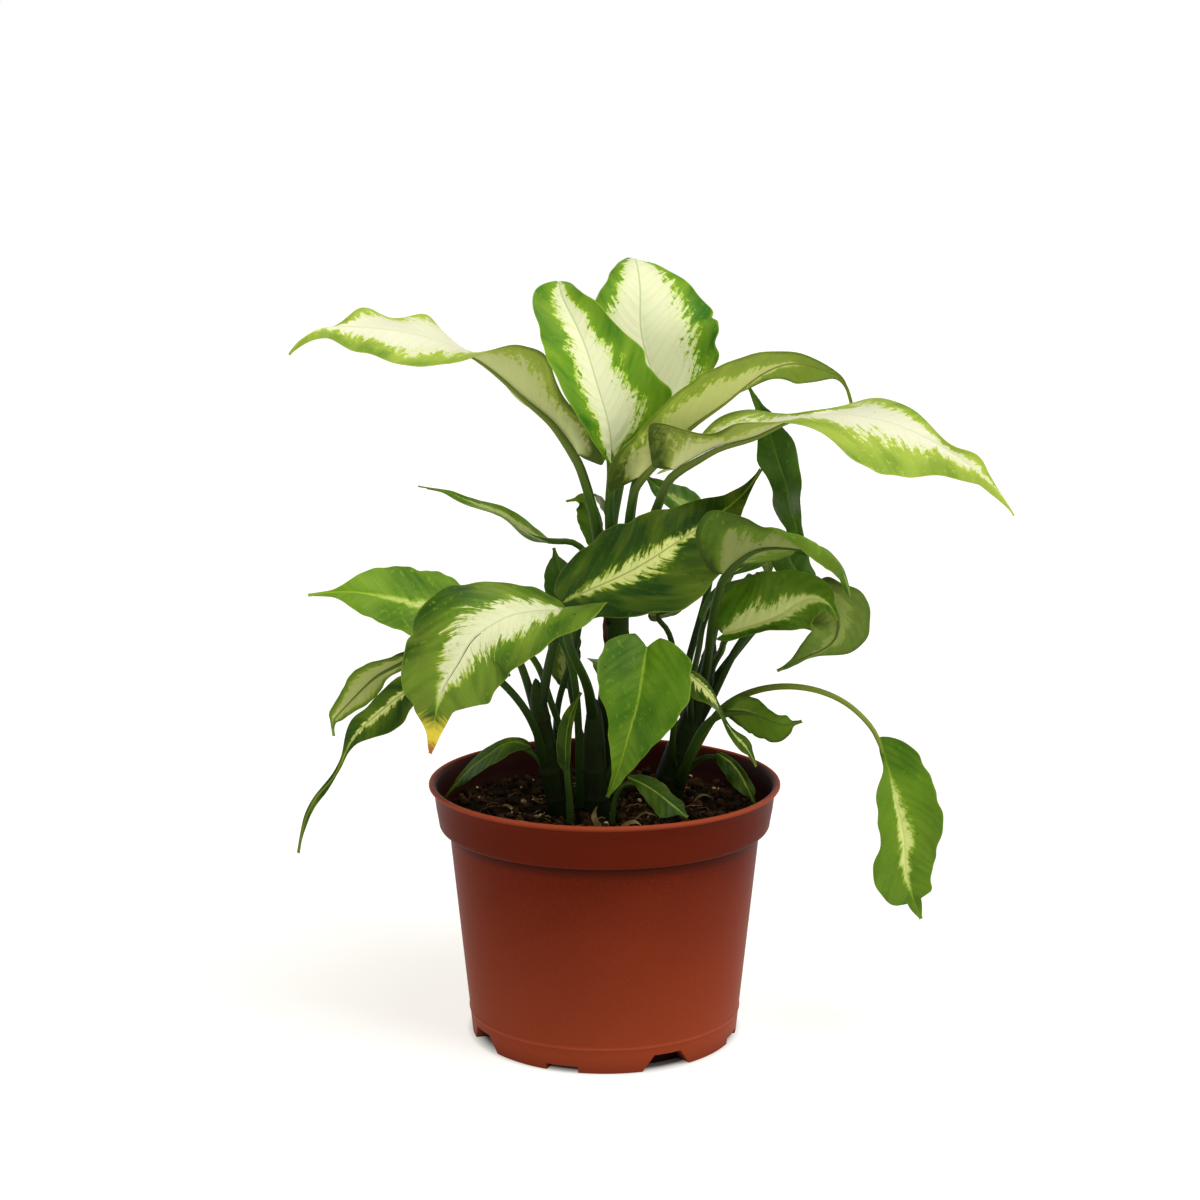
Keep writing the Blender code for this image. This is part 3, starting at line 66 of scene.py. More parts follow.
leaves = {
    "leaf_high_left": dict(look="golden", cream=[0.85, 0.9, 0.82, 0.72, -0.35], stem=(2.4, 1.9),
        stalk=[(3, 2, 166), (0, 1, 180), (-2, -1, 196), (-5, -5, 214), (-9, -9, 228), (-11, -10, 234)],
        rib=[(-19, -6, 245), (-30, -2, 254), (-40, -1, 263), (-50, -4, 271), (-64, -10, 278),
        (-79, -16, 282), (-98, -22, 284), (-108, -27, 283), (-118, -29, 274)], face=[(0.5, 0.8, 0.35),
        (0.35, 0.88, 0.3), (0, -0.2, 0.97), (0, -0.45, 0.9), (0, -0.35, 0.93)], fold=[(21, 75), (24, 55),
        (-6, 7), (-36, 2), (-26, -4)], wide=(21, 20), shape=(0.42, 0.8), wave=((0.7, 2.6), 4.5, 0.36),
        lobe=(10, 0), margin=([130, 72, 52, 79, 91, 90, 89, 100, 111, 103, 150, 150, 96], [100, 99, 98, 98,
        100, 102, 123, 97, 118, 121, 15, 15, 40]), creamSides=(0.72, 0.95)),
    "leaf_high_front": dict(look="bright", cream=[0.7, 0.5, 0.4, 0.28, 0], stem=(2.2, 1.7),
        stalk=[(4, 1, 176), (3, -3, 190), (2, -5, 205), (2, -7, 217), (3, -8, 230)], rib=[(1, -14, 248),
        (-3, -17, 262), (-6, -16, 272), (-11.5, -10, 285), (-16.5, 0, 294.5), (-18, 12, 299),
        (-20, 26, 294)], face=[(0.5, -0.86, 0.1), (0.5, -0.86, 0.1), (0.4, -0.8, 0.3), (0.2, -0.3, 0.9)],
        fold=[(20, 20), (15, 14), (-6, 35), (-28, 17)], wide=(21, 24), shape=(0.75, 0.95),
        wave=((1.5, 1.5), 2.5, 0.3), margin=([78, 67, 68, 75, 85, 95, 87, 83, 89, 91, 25, 19, 42], [15, 72,
        136, 111, 92, 86, 66, 54, 45, 56, 80, 80, 63])),
    "leaf_high_back": dict(look="bright", cream=[0.7, 0.68, 0.62, 0.5, 0.1], stem=(2.2, 1.7),
        stalk=[(4, 2, 178), (8, 5, 192), (10, 8, 206), (15, 12, 228), (25, 17, 243)], rib=[(21, 16, 257),
        (16, 16, 272), (14, 17, 283), (14, 20, 294), (13, 28, 304), (12, 40, 307), (11, 58, 300)],
        face=[(0.3, -0.95, 0.1), (0.3, -0.95, 0.1), (0.25, -0.9, 0.3), (0, -0.2, 0.9)], fold=[(15, 5),
        (10, 12), (-5, -7), (-30, -15)], wide=(24, 29), shape=(0.6, 0.75), wave=((1.8, 1.8), 2.5, 0),
        margin=([101, 101, 102, 101, 99, 93, 84, 64, 55, 44, 32, 53, 80], [15, 80, 110, 105, 103, 102, 105,
        93, 91, 62, 59, 67, 83])),
    "leaf_high_arching": dict(look="bright", cream=[0.6, 0.75, 0.55, 0.05, -0.2], stem=(2, 1.6),
        stalk=[(5, 1, 180), (8, -3, 192), (9, -5, 203), (10, -7, 213), (13, -9, 225)], rib=[(20, -11, 232),
        (33, -11, 245), (46, -9, 254), (62, -7, 266), (74, -6, 269), (82, -6, 267), (90, -6, 264),
        (95, -7, 253)], face=[(-0.6, 0.5, 0.6), (-0.5, 0.6, 0.6), (-0.1, 0.5, 0.85), (0.3, 0.5, 0.8)],
        fold=[(44, 24), (51, 11), (-11, 2), (-21, 0)], wide=(17, 17), shape=(0.42, 0.8), wave=((1.2, 1.2),
        2.4, 0.3), lobe=(8, 12), margin=([103, 103, 101, 96, 85, 67, 45, 37, 74, 150, 150, 68, 43], [128,
        136, 107, 98, 118, 139, 142, 117, 82, 88, 115, 53, 15])),
    "leaf_high_right": dict(look="golden", cream=[0.7, 0.65, 0.66, 0.5, 0.05], stem=(2.4, 1.9),
        stalk=[(5, 2, 166), (10, 2, 180), (14, -1, 192), (18, -7, 207), (26, -16, 229)],
        rib=[(34, -19, 234), (43, -22, 239), (56, -26, 243), (68, -29, 249), (87, -32, 252),
        (103, -34, 250), (119, -36, 244), (134, -38, 235), (146, -39, 225), (153, -40, 215)],
        face=[(-0.5, 0.17, 0.9), (-0.3, 0, 0.95), (0.05, -0.4, 0.9), (0.2, -0.5, 0.83), (0.2, -0.5, 0.83)],
        fold=[(55, 77), (17, 23), (-17, 1), (28, -27), (-33, -17)], wide=(22, 24), shape=(0.42, 0.7),
        wave=((1.6, 1.6), 2.4, 0.3), lobe=(8, 7), margin=([15, 15, 86, 119, 89, 15, 20, 110, 113, 73, 30,
        22, 81, 28, 20], [90, 140, 48, 51, 82, 66, 77, 129, 140, 137, 127, 86, 91, 120, 78]),
        creamSides=(1, 0.62)),
    "leaf_dark_twisted": dict(look="shady", cream=[0, 0.05, 0, 0], stem=(1.8, 1.3), stalk=[(36, 8, 122),
        (44, 4, 138), (52, 2, 155), (69, 0, 174), (81, -2, 181)], rib=[(74, -3, 189), (72, -3, 196),
        (75, -3, 202), (73, -3, 210), (71, -2, 220), (68, -1, 229), (65, 1, 239), (61, 4, 250),
        (56, 7, 259)], face=[(0, -0.95, 0.3), (-0.2, -0.95, 0.2), (-1, -0.25, 0.2), (-0.6, -0.75, 0.1),
        (-0.6, -0.7, 0.1), (-0.6, -0.7, 0.1)], fold=[(19, 1)], wide=(11, 11), shape=(0.4, 0.5),
        wave=((1.2, 1.2), 3.5, 0.2), margin=([69, 65, 79, 48, 43, 105, 74, 55, 87, 79, 78, 135, 150], [125,
        81, 84, 61, 19, 117, 111, 80, 97, 100, 88, 92, 99])),
    "leaf_middle_diagonal": dict(look="middle", cream=[0.06, 0.22, 0.19, 0.02, -0.15], stem=(2, 1.6),
        stalk=[(-26, -8, 130), (-23, -11, 146), (-21, -12, 156), (-18, -14, 167), (-16, -18, 178)],
        rib=[(-5, -23, 184), (7, -26, 190), (17, -28, 196), (26, -28, 202), (34, -26, 207), (45, -22, 214),
        (54, -17, 221), (60, -13, 229)], face=[(-0.3, -0.7, 0.6), (-0.3, -0.7, 0.6), (-0.2, -0.7, 0.6),
        (-0.2, -0.7, 0.6)], fold=[(5, -14)], wide=(22.5, 22.5), shape=(0.5, 0.9), wave=((1.5, 1.5), 2,
        0.3), lobe=(4, 4), drip=(0.16, 0.2), margin=([97, 95, 92, 100, 93, 86, 86, 87, 94, 113, 101, 65,
        51], [77, 63, 61, 76, 89, 107, 116, 116, 120, 117, 88, 41, 25])),
    "leaf_broad_drooping": dict(look="broad", cream=[0.25, 0.44, 0.36, 0.06, -0.2], stem=(2.2, 1.8),
        stalk=[(-4, -8, 128), (-6, -15, 142), (-10, -27, 155), (-14, -34, 167), (-15, -35, 178)],
        rib=[(-26, -42, 179), (-36, -48, 178), (-43, -52, 175), (-49, -55, 171), (-54, -58, 163),
        (-60, -60, 153), (-63, -60, 141), (-65, -58, 128)], face=[(0.1, -0.5, 0.85), (-0.2, -0.7, 0.7),
        (-0.5, -0.8, 0.3), (-0.4, -0.9, 0.1)], fold=[(63, -3), (-58, 16), (-7, 11)], wide=(25, 23.5),
        shape=(0.62, 0.55), lobe=(18, 4), drip=(0.2, 0.26), margin=([140, 140, 88, 77, 72, 81, 87, 88, 95,
        101, 89, 81, 95], [107, 106, 78, 73, 84, 94, 104, 100, 110, 121, 140, 78, 119])),
    "leaf_right_arched": dict(look="arched", cream=[0.2, 0.45, 0.45, 0.2, 0], stem=(2, 1.6),
        stalk=[(38, 7, 134), (40, 0, 147), (41, -8, 158), (42, -20, 174), (45, -37, 192)],
        rib=[(51, -41, 199), (58, -44, 203), (65, -47, 204), (75, -49, 203), (83, -50, 200),
        (88, -50, 195), (91, -50, 186)], face=[(0, 0.93, 0.25), (0, 0.8, 0.6), (0.1, 0.1, 1),
        (0.3, -0.35, 0.9)], fold=[(18, 5), (16, 25), (4, -2)], wide=(15, 16), shape=(0.4, 0.8),
        lobe=(0, 2), roll=((0, 6.8), 0.3, 0.6), margin=([43, 29, 44, 59, 77, 106, 143, 150, 143, 144, 103,
        38, 18], [94, 131, 146, 101, 64, 72, 84, 108, 124, 156, 160, 155, 149])),
    "leaf_right_banded": dict(look="fresh", cream=[0.3, 0.42, 0.34, 0.15, 0], stem=(1.7, 1.3),
        stalk=[(40, 6, 141), (44, 0, 152), (46, -6, 157), (46, -12, 164)], rib=[(57, -15, 168),
        (69, -19, 174), (80, -22, 180), (86, -24, 178), (89, -25, 172)], face=[(-0.1, -0.75, 0.65),
        (-0.1, -0.75, 0.65), (0.1, -0.75, 0.65)], fold=[(26, 50), (23, -3), (10, -13)], wide=(15.5, 15.5),
        shape=(0.5, 0.6), lobe=(3, 3), margin=([150, 144, 131, 128, 121, 117, 113, 98, 95, 86, 95], [101,
        69, 43, 36, 34, 52, 77, 115, 126, 119, 110])),
    "leaf_right_hanging": dict(look="olive", cream=[0.3, 0.4, 0.3, 0.1, 0], stem=(1.7, 1.3),
        stalk=[(39, 8, 133), (46, 9, 144), (56, 10, 157), (72, 8, 174), (83, 7, 180)], rib=[(90, 6, 174),
        (93, 5, 166), (91, 5, 158), (82, 7, 152), (69, 9, 145)], face=[(0.3, 0.8, 0.4)], fold=[(4, 8)],
        wide=(12.5, 12.5), shape=(0.5, 0.9), wave=((1, 1), 2.3, 0.3), margin=([99, 100, 100, 102, 103, 106,
        107, 103, 86, 65, 58], [150, 87, 96, 101, 95, 75, 42, 33, 33, 78, 111])),
    "leaf_front_hanging": dict(look="fresh", cream=[0], stem=(1.8, 1.4), stalk=[(-4, -9, 98),
        (4, -11, 112), (12, -19, 135), (17, -31, 154), (16, -36, 164)], rib=[(14, -43.5, 154),
        (12, -49, 144), (9, -52, 134), (6, -52, 123), (1, -50, 109)], face=[(0.05, -0.95, 0.3),
        (0.1, -1, 0.1), (0.1, -1, 0)], fold=[(28, 13)], wide=(17.5, 17.5), shape=(0.5, 1.1), lobe=(4, 5),
        margin=([104, 119, 116, 114, 108, 97, 92, 94, 109, 106, 87], [120, 115, 105, 100, 93, 72, 67, 68,
        68, 63, 71])),
    "leaf_left_lime": dict(look="lime", cream=[0.1, 0.14, 0.05, 0, 0], stem=(1.7, 1.3),
        stalk=[(-10, 0, 76), (-10, 0, 100), (-11, 0, 135), (-15, -4, 156), (-25, -8, 170), (-41, -10, 176),
        (-52, -12, 175)], rib=[(-70, -14, 176), (-87, -16, 180), (-100, -18, 182), (-114, -20, 181)],
        face=[(0, -0.75, 0.65)], fold=[(5, 4)], wide=(14.5, 14.5), shape=(0.6, 1), margin=([100, 100, 100,
        100, 99, 100, 102, 103, 96, 94, 114], [129, 127, 110, 99, 102, 113, 110, 100, 51, 29, 34])),
    "leaf_left_olive": dict(look="lime", cream=[0.5, 0.7, 0.6, 0.2], stem=(1.5, 1.2), stalk=[(-12, 7, 76),
        (-14, 5, 100), (-17, 2, 121), (-22, 2, 136), (-29, 0, 153), (-47, -2, 162), (-63, -4, 161),
        (-74, -6, 155)], rib=[(-82, -8, 151), (-88, -9, 148), (-94, -10, 143), (-98, -11, 139),
        (-103, -13, 134), (-106, -14, 130), (-106, -14, 124)], face=[(0.2, 0.6, 0.7), (0.2, 0.6, 0.7),
        (0.3, 0.7, 0.5)], fold=[(5, 5)], wide=(8, 8), shape=(0.5, 0.6), wave=((0.8, 0.8), 2, 0.3)),
    "leaf_left_long": dict(look="middle", cream=[0.2, 0.2, 0.08, 0, 0], stem=(1.7, 1.3),
        stalk=[(-21, -7, 104), (-25, -13, 120), (-29, -18, 132), (-39, -24, 147), (-52, -28, 156),
        (-64, -30, 155), (-72, -32, 148)], rib=[(-80, -33, 143), (-86, -34, 138), (-93, -36, 132),
        (-98, -37, 125), (-104, -38, 113), (-110, -38, 106), (-115, -37, 96), (-118, -36, 83)],
        face=[(-0.3, -0.8, 0.5), (-0.4, -0.8, 0.4), (-0.6, -0.7, 0.2), (-0.6, -0.7, 0.1)], fold=[(-3, 10)],
        wide=(10, 10), shape=(0.5, 1), wave=((0.8, 0.8), 3, 0.3), drip=(0.5, 0.2), margin=([107, 81, 94,
        95, 76, 38, 15, 48, 141, 150, 150, 150, 131], [134, 75, 55, 50, 80, 63, 32, 62, 90, 96, 101, 99,
        99])),
    "leaf_left_narrow": dict(look="lime", cream=[0.35, 0.35, 0.3, 0.1, 0], stem=(1.8, 1.3),
        stalk=[(4, 3, 152), (2, 9, 168), (-2, 12, 182), (-8, 14, 193), (-15, 14, 197), (-21, 13, 196)],
        rib=[(-30, 12, 200), (-39, 10, 207), (-50, 8, 212), (-61, 6, 217), (-73, 4, 220)],
        face=[(0, -0.2, 1), (0, -0.25, 1), (0, -0.25, 1)], fold=[(10, 9)], wide=(10, 10), shape=(0.5, 0.9),
        wave=((0.8, 0.8), 2, 0.3), margin=([100, 100, 100, 100, 100, 100, 100, 100, 100], [101, 98, 74, 64,
        73, 57, 24, 30, 56])),
    "leaf_small_bright": dict(look="fresh", cream=[0], stem=(1.4, 1.1), stalk=[(3, 4, 171), (-2, 8, 184),
        (-2, 8, 194)], rib=[(-4, 8, 202), (-6, 7, 209), (-9, 6, 214), (-15, 4, 214)],
        face=[(-0.6, -0.8, 0.1), (-0.6, -0.7, 0.3), (-0.3, -0.6, 0.7)], fold=[(10, 10)], wide=(6, 6),
        wave=((0.5, 0.5), 2, 0.3)),
    "leaf_small_dark": dict(look="shady", cream=[0], stem=(1.5, 1.2), stalk=[(-19, 9, 76), (-19, 9, 105),
        (-18, 8, 134), (-13, 9, 150), (-9, 10, 169)], rib=[(-14, 10, 178), (-18, 9, 187), (-20, 8, 195)],
        face=[(-0.4, -0.8, 0.3)], fold=[(10, 10)], wide=(9, 9), wave=((0.5, 0.5), 2, 0.3)),
    "leaf_behind_stalk": dict(look="shady", cream=[0.3, 0.3, 0.1, 0], stem=(1.6, 1.3), stalk=[(37, 8, 126),
        (33, 14, 140), (35, 17, 152), (40, 19, 170), (42, 24, 194), (38, 26, 203)], rib=[(31, 28, 210),
        (23, 30, 215), (15, 32, 222)], face=[(-0.1, -0.6, 0.8)], fold=[(10, 10)], wide=(7, 7),
        shape=(0.5, 0.9), wave=((0.5, 0.5), 2, 0.3)),
    "leaf_low_pale": dict(look="middle", cream=[0.4, 0.3, 0.1], stem=(1.4, 1.1), stalk=[(34, 9, 116),
        (31, 16, 130), (28, 18, 150), (24, 17, 162), (18, 17, 167)], rib=[(24, 19, 167), (30, 22, 168),
        (35, 25, 171)], face=[(-0.1, 0.6, 0.8)], fold=[(5, 5)], wide=(9, 9), shape=(0.5, 0.8),
        wave=((0.5, 0.5), 2, 0.3)),
    "leaf_right_twisted": dict(look="middle", cream=[0.35, 0.35, 0.2, 0], stem=(1.4, 1.1),
        stalk=[(29, 9, 100), (27, 0, 113), (27, -9, 124), (28, -18, 139), (30, -27, 154)],
        rib=[(36, -30, 149), (41, -32, 144), (45, -34, 136), (51, -35, 128), (55, -35, 123),
        (58, -35, 117)], face=[(-0.3, -0.9, 0.3), (0.3, -0.8, 0.4), (0.9, -0.1, 0.4), (0.6, -0.6, 0.4),
        (0.6, -0.6, 0.4)], fold=[(6, 9)], wide=(7.5, 7.5), wave=((0.6, 0.6), 2, 0.3), margin=([23, 37, 39,
        27, 21, 24, 33, 58, 114, 150, 150], [78, 84, 94, 106, 116, 105, 93, 96, 122, 150, 150])),
    "leaf_right_small": dict(look="fresh", cream=[0.1, 0.1, 0, 0], stem=(2, 1.5), stalk=[(29, 7, 98),
        (34, -4, 114), (39, -9, 126), (46, -14, 134)], rib=[(55, -18, 135), (62, -22, 133), (70, -25, 131),
        (76, -27, 133)], face=[(0, 0.95, 0.3), (0, 0.95, 0.3), (0.1, 0.95, 0.3)], fold=[(4, 6)],
        wide=(8.5, 8.5), shape=(0.5, 0.5), wave=((1, 1), 1.8, 0.3), margin=([113, 112, 114, 116, 120, 119,
        120, 75, 58], [56, 70, 72, 69, 62, 54, 62, 98, 150])),
    "leaf_far_right_hanging": dict(look="pendant", cream=[-0.2, 0.06, 0.2, 0.1, -0.15], stem=(1.7, 0.95),
        stalk=[(31, 9, 104), (38, 6, 117), (45, 3, 129), (57, -4, 139), (77, -12, 143), (95, -17, 137),
        (107, -20, 125)], rib=[(110, -22, 114), (114, -24, 98), (117, -24, 85), (118, -23, 72),
        (121, -21, 61), (125, -19, 51)], face=[(0.3, -0.95, 0.2), (0.4, -0.9, 0), (0.4, -0.9, 0),
        (0.3, -0.95, 0)], fold=[(17, 3)], wide=(16, 18), shape=(0.6, 0.42), wave=((1.2, 1.2), 2.2, 0.3),
        margin=([140, 140, 127, 121, 106, 102, 97, 88, 83, 79, 88, 140, 140], [15, 15, 21, 52, 56, 56, 56,
        70, 94, 94, 94, 133, 140])),
    "leaf_in_pot_left": dict(look="middle", cream=[-0.1, -0.05, -0.1], stem=(1.6, 1.2),
        stalk=[(-20, -7, 98), (-25, -8, 112), (-29, -8, 118)], rib=[(-36, -8, 120), (-45, -6, 115),
        (-54, -2, 107), (-59, 1, 101), (-64, 4, 94)], face=[(-0.1, -0.5, 0.9), (-0.4, -0.6, 0.7),
        (-0.6, -0.6, 0.4)], fold=[(5, 4)], wide=(7, 7), shape=(0.5, 0.9), wave=((0.5, 0.5), 2, 0.3),
        margin=([74, 91, 101, 94, 98, 97, 97, 101, 103], [87, 48, 34, 49, 64, 56, 39, 49, 72])),
    "leaf_in_pot_front": dict(look="middle", cream=[0, 0.03, 0], stem=(1.3, 1), stalk=[(3, -18, 76),
        (3, -18, 92), (5, -18, 102), (9, -20, 109)], rib=[(17, -24, 106), (25, -28, 101), (32, -32, 96)],
        face=[(0.1, -0.7, 0.7), (0.3, -0.7, 0.6)], fold=[(7, -17)], wide=(8, 8), wave=((0.5, 0.5), 2, 0.3),
        margin=([23, 46, 57, 55, 55, 54, 87, 150, 150], [15, 22, 45, 58, 72, 97, 150, 150, 127])),
    "leaf_in_pot_right": dict(look="middle", cream=[0, 0.08, 0], stem=(1.3, 1), stalk=[(27, 11, 93),
        (36, 12, 106), (45, 6, 112)], rib=[(51, 5, 108), (56, 4, 101), (60, 2, 92)],
        face=[(-0.2, -0.8, 0.6), (0.1, -0.8, 0.5)], fold=[(5, 5)], wide=(5.5, 5.5), shape=(0.5, 0.6),
        margin=([26, 40, 33, 33, 54, 105, 150], [100, 100, 100, 100, 100, 100, 100])),
    "leaf_pale_behind": dict(look="middle", cream=[0.4, 0.4, 0.1], stem=(1.4, 1.1), stalk=[(0, 6, 102),
        (-9, 8, 118), (-12, 11, 128), (-14, 12, 137)], rib=[(-15, 14, 146), (-15, 14, 155),
        (-12, 12, 164)], face=[(0.2, 0.9, 0.1)], fold=[(8, 5)], wide=(8, 8), shape=(0.6, 0.6),
        wave=((0.5, 0.5), 2, 0.3), margin=([38, 58, 65, 69, 79, 122, 150], [100, 100, 100, 100, 100, 100,
        100])),
    "shoot_young": dict(look="middle", cream=[0], stem=(1.7, 1.2), stalk=[(-14, -22, 76), (-14, -22, 104),
        (-15, -22, 112)], rib=[(-15, -22, 122), (-13, -20, 134), (-9, -17, 142)], face=[(-0.5, -0.9, 0.1)],
        fold=[(30, 30)], wide=(3.6, 3.6), shape=(0.4, 0.6), wave=((0, 0), 2, 0.3)),
    "leaf_right_narrow": dict(look="shady", cream=[0.1, 0.1, 0], stem=(1.5, 1.2), stalk=[(35, 8, 119),
        (34, 1, 134), (35, -6, 148), (37, -9, 159), (38, -10, 169)], rib=[(41, -14, 177), (49, -16, 184),
        (60, -17, 189)], face=[(-0.6, -0.6, 0.5), (-0.3, -0.5, 0.8), (0, -0.3, 0.9)], fold=[(20, 20)],
        wide=(5, 5), shape=(0.5, 0.9), wave=((0.4, 0.4), 2, 0.3), margin=([60], [80])),
    "leaf_back_high": dict(look="bright", cream=[0.7, 0.6, 0.5, 0.3, 0], stem=(2.1, 1.7),
        stalk=[(4, 2, 170), (4, 7, 184), (3, 13, 198), (5, 22, 212), (8, 30, 226)], rib=[(10, 42, 240),
        (13, 56, 250), (15, 70, 253), (17, 84, 249), (18, 96, 240)], face=[(0.2, -0.7, 0.7),
        (0, -0.3, 0.95), (-0.2, 0.3, 0.9)], fold=[(15, 15)], wide=(21, 21), shape=(0.5, 0.8),
        wave=((1.2, 1.2), 2.2, 0.3)),
    "leaf_back_left": dict(look="middle", cream=[0.3, 0.45, 0.35, 0.15, 0], stem=(1.9, 1.5),
        stalk=[(-24, -7, 118), (-30, 6, 138), (-36, 20, 150), (-42, 30, 157)], rib=[(-50, 42, 162),
        (-58, 55, 162), (-66, 68, 155), (-72, 80, 143)], face=[(0.3, -0.4, 0.85), (0, 0, 1),
        (-0.3, 0.4, 0.85)], fold=[(15, 15)], wide=(19, 19), shape=(0.5, 0.8), wave=((1, 1), 2.2, 0.3)),
    "leaf_back_right": dict(look="middle", cream=[0.35, 0.45, 0.35, 0.15, 0], stem=(1.9, 1.5),
        stalk=[(38, 8, 126), (41, 17, 144), (45, 27, 160), (48, 35, 171), (51, 42, 178)],
        rib=[(57, 54, 184), (63, 67, 185), (68, 80, 180), (71, 92, 168)], face=[(-0.2, -0.4, 0.85),
        (0, 0, 1), (0.3, 0.4, 0.85)], fold=[(12, 12)], wide=(19, 19), shape=(0.5, 0.8), wave=((1, 1), 2.2,
        0.1)),
    "leaf_back_low": dict(look="fresh", cream=[0.2, 0.35, 0.25, 0.1, 0], stem=(1.7, 1.3),
        stalk=[(3, 17, 76), (3, 20, 100), (4, 30, 118), (5, 42, 130), (6, 52, 134)], rib=[(8, 64, 136),
        (9, 76, 132), (9, 88, 122), (8, 96, 108)], face=[(0, -0.3, 0.95), (0, 0.2, 0.95), (0, 0.8, 0.5)],
        fold=[(10, 10)], wide=(16, 16), shape=(0.5, 0.8), wave=((1, 1), 2.2, 0.2)),
}

# What a leaf has where its row above says nothing.
plainLeaf = dict(shape=(0.5, 0.7), wave=((1, 1), 2, 0.3), lobe=(0, 0), drip=(0.12, 0.14), creamSides=(1, 1),
                 roll=((0, 0), 0.3, 0.6), margin=([100], [100]))


# Node helpers. fillNode links or sets a node's sockets, and addNode adds a node and fills it. The rest
# give a socket of a new node, which stands in the tree of the sockets that feed it.
def fillNode(node, values):
    for socket, value in values.items():
        if isinstance(value, bpy.types.NodeSocket):
            value.id_data.links.new(value, node.inputs[socket])
        else:
            node.inputs[socket].default_value = value


def addNode(tree, kind, values=None, **options):
    node = tree.nodes.new("ShaderNode" + kind)
    for option, value in options.items():
        setattr(node, option, value)
    fillNode(node, values or {})
    return node


def fedNode(kind, values, output=0, **options):
    tree = next(value.id_data for value in values.values() if isinstance(value, bpy.types.NodeSocket))
    return addNode(tree, kind, values, **options).outputs[output]


def calc(operation, a, b=0.0, c=0.0):
    return fedNode("Math", {0: a, 1: b, 2: c}, operation=operation)


def times(a, b):
    return calc("MULTIPLY", a, b)


def timesAdd(a, b, c):
    return calc("MULTIPLY_ADD", a, b, c)


def minus(a, b):
    return calc("SUBTRACT", a, b)


def remap(value, low, high, toLow=0.0, toHigh=1.0, smooth=False):
    kind = "SMOOTHSTEP" if smooth else "LINEAR"
    return fedNode("MapRange", {0: value, 1: low, 2: high, 3: toLow, 4: toHigh}, interpolation_type=kind)


def mixColour(share, a, b):
    return fedNode("Mix", {0: share, 6: a, 7: b}, 2, data_type="RGBA")


# Lays a coat over a colour: none where value is at low, the share most of it where value is at high.
def layer(colour, coat, value, low, high, most=1.0, smooth=False):
    return mixColour(remap(value, low, high, 0.0, most, smooth), colour, coat)


def noise(vector, scale, detail=3.0, roughness=0.55):
    return fedNode("TexNoise", {"Vector": vector, "Scale": scale, "Detail": detail, "Roughness": roughness})


def joinAxes(x, y, z):
    return fedNode("CombineXYZ", {0: x, 1: y, 2: z})


def splitAxes(vector):
    return list(addNode(vector.id_data, "SeparateXYZ", {0: vector}).outputs)


def readAttribute(tree, name):
    return splitAxes(addNode(tree, "Attribute", attribute_name=name).outputs["Vector"])


def readNumber(tree, name):
    return addNode(tree, "Attribute", attribute_name=name).outputs["Fac"]


def objectPlace(tree):
    return addNode(tree, "TexCoord").outputs["Object"]


# A screen colour from 0 to 255 turned into the linear one that shaders take.
def paint(red, green, blue):
    part = np.array([red, green, blue]) / 255.0
    linear = np.where(part <= 0.04045, part / 12.92, ((part + 0.055) / 1.055) ** 2.4)
    return (*linear.tolist(), 1.0)


# A new material with its node tree and its surface shader.
def newMaterial(name):
    material = bpy.data.materials.new(name)
    material.use_nodes = True
    return material, material.node_tree, material.node_tree.nodes["Principled BSDF"]


# Finishes a material: colour, roughness and specular, and bump of height times distance in millimetres.
def finishSkin(shader, colour, rough, specular, height, distance, strength):
    normal = fedNode("Bump", {"Height": height, "Distance": distance * mm, "Strength": strength})
    fillNode(shader, {"Base Color": colour, "Roughness": rough, "Specular IOR Level": specular,
                      "Normal": normal})


# Each vector over its own length.
def unit(vectors):
    return vectors / np.maximum(np.linalg.norm(vectors, axis=-1, keepdims=True), 1e-9)


# Where a point at a radius and a turn about Z stands, counted from the front.
def around(radius, turn):
    return radius * np.sin(turn), -radius * np.cos(turn)


# A natural cubic curve through points: each stretch is the straight line between two points plus the
# cubic that keeps slope and bend equal where stretches meet. where runs from 0 to 1 along the length,
# or along even steps from point to point.
def naturalCurve(points, where, even=False):
    points = np.array(points, float)
    last = len(points) - 1
    if last == 0:
        return np.repeat(points, len(where), axis=0)
    if even:
        knots = np.linspace(0.0, 1.0, last + 1)
    else:
        knots = np.concatenate([[0.0], np.cumsum(np.linalg.norm(np.diff(points, axis=0), axis=1))])
        knots = knots / knots[-1]
    span = np.diff(knots)
    inner = np.arange(1, last)
    matrix = np.eye(last + 1)
    matrix[inner, inner - 1] = span[:-1] / 6
    matrix[inner, inner] = (span[:-1] + span[1:]) / 3
    matrix[inner, inner + 1] = span[1:] / 6
    target = np.zeros_like(points)
    target[1:-1] = np.diff(np.diff(points, axis=0) / span[:, None], axis=0)
    bend = np.linalg.solve(matrix, target)
    j = np.clip(np.searchsorted(knots, where, "right") - 1, 0, last - 1)
    before = ((knots[j + 1] - where) / span[j])[:, None]
    after = 1.0 - before
    cubic = (before ** 3 - before) * bend[j] + (after ** 3 - after) * bend[j + 1]
    return before * points[j] + after * points[j + 1] + cubic * span[j][:, None] ** 2 / 6


# The sum of the straight steps from point to point.
def routeLength(points):
    return float(np.linalg.norm(np.diff(np.array(points, float), axis=0), axis=1).sum())


# Quads between neighbouring rows of a grid whose rows are rings of one length.
def ringFaces(rows, ring):
    i, j = np.meshgrid(np.arange(rows - 1), np.arange(ring), indexing="ij")
    k = (j + 1) % ring
    quads = np.stack([i * ring + j, i * ring + k, (i + 1) * ring + k, (i + 1) * ring + j], axis=-1)
    return quads.reshape(-1, 4)


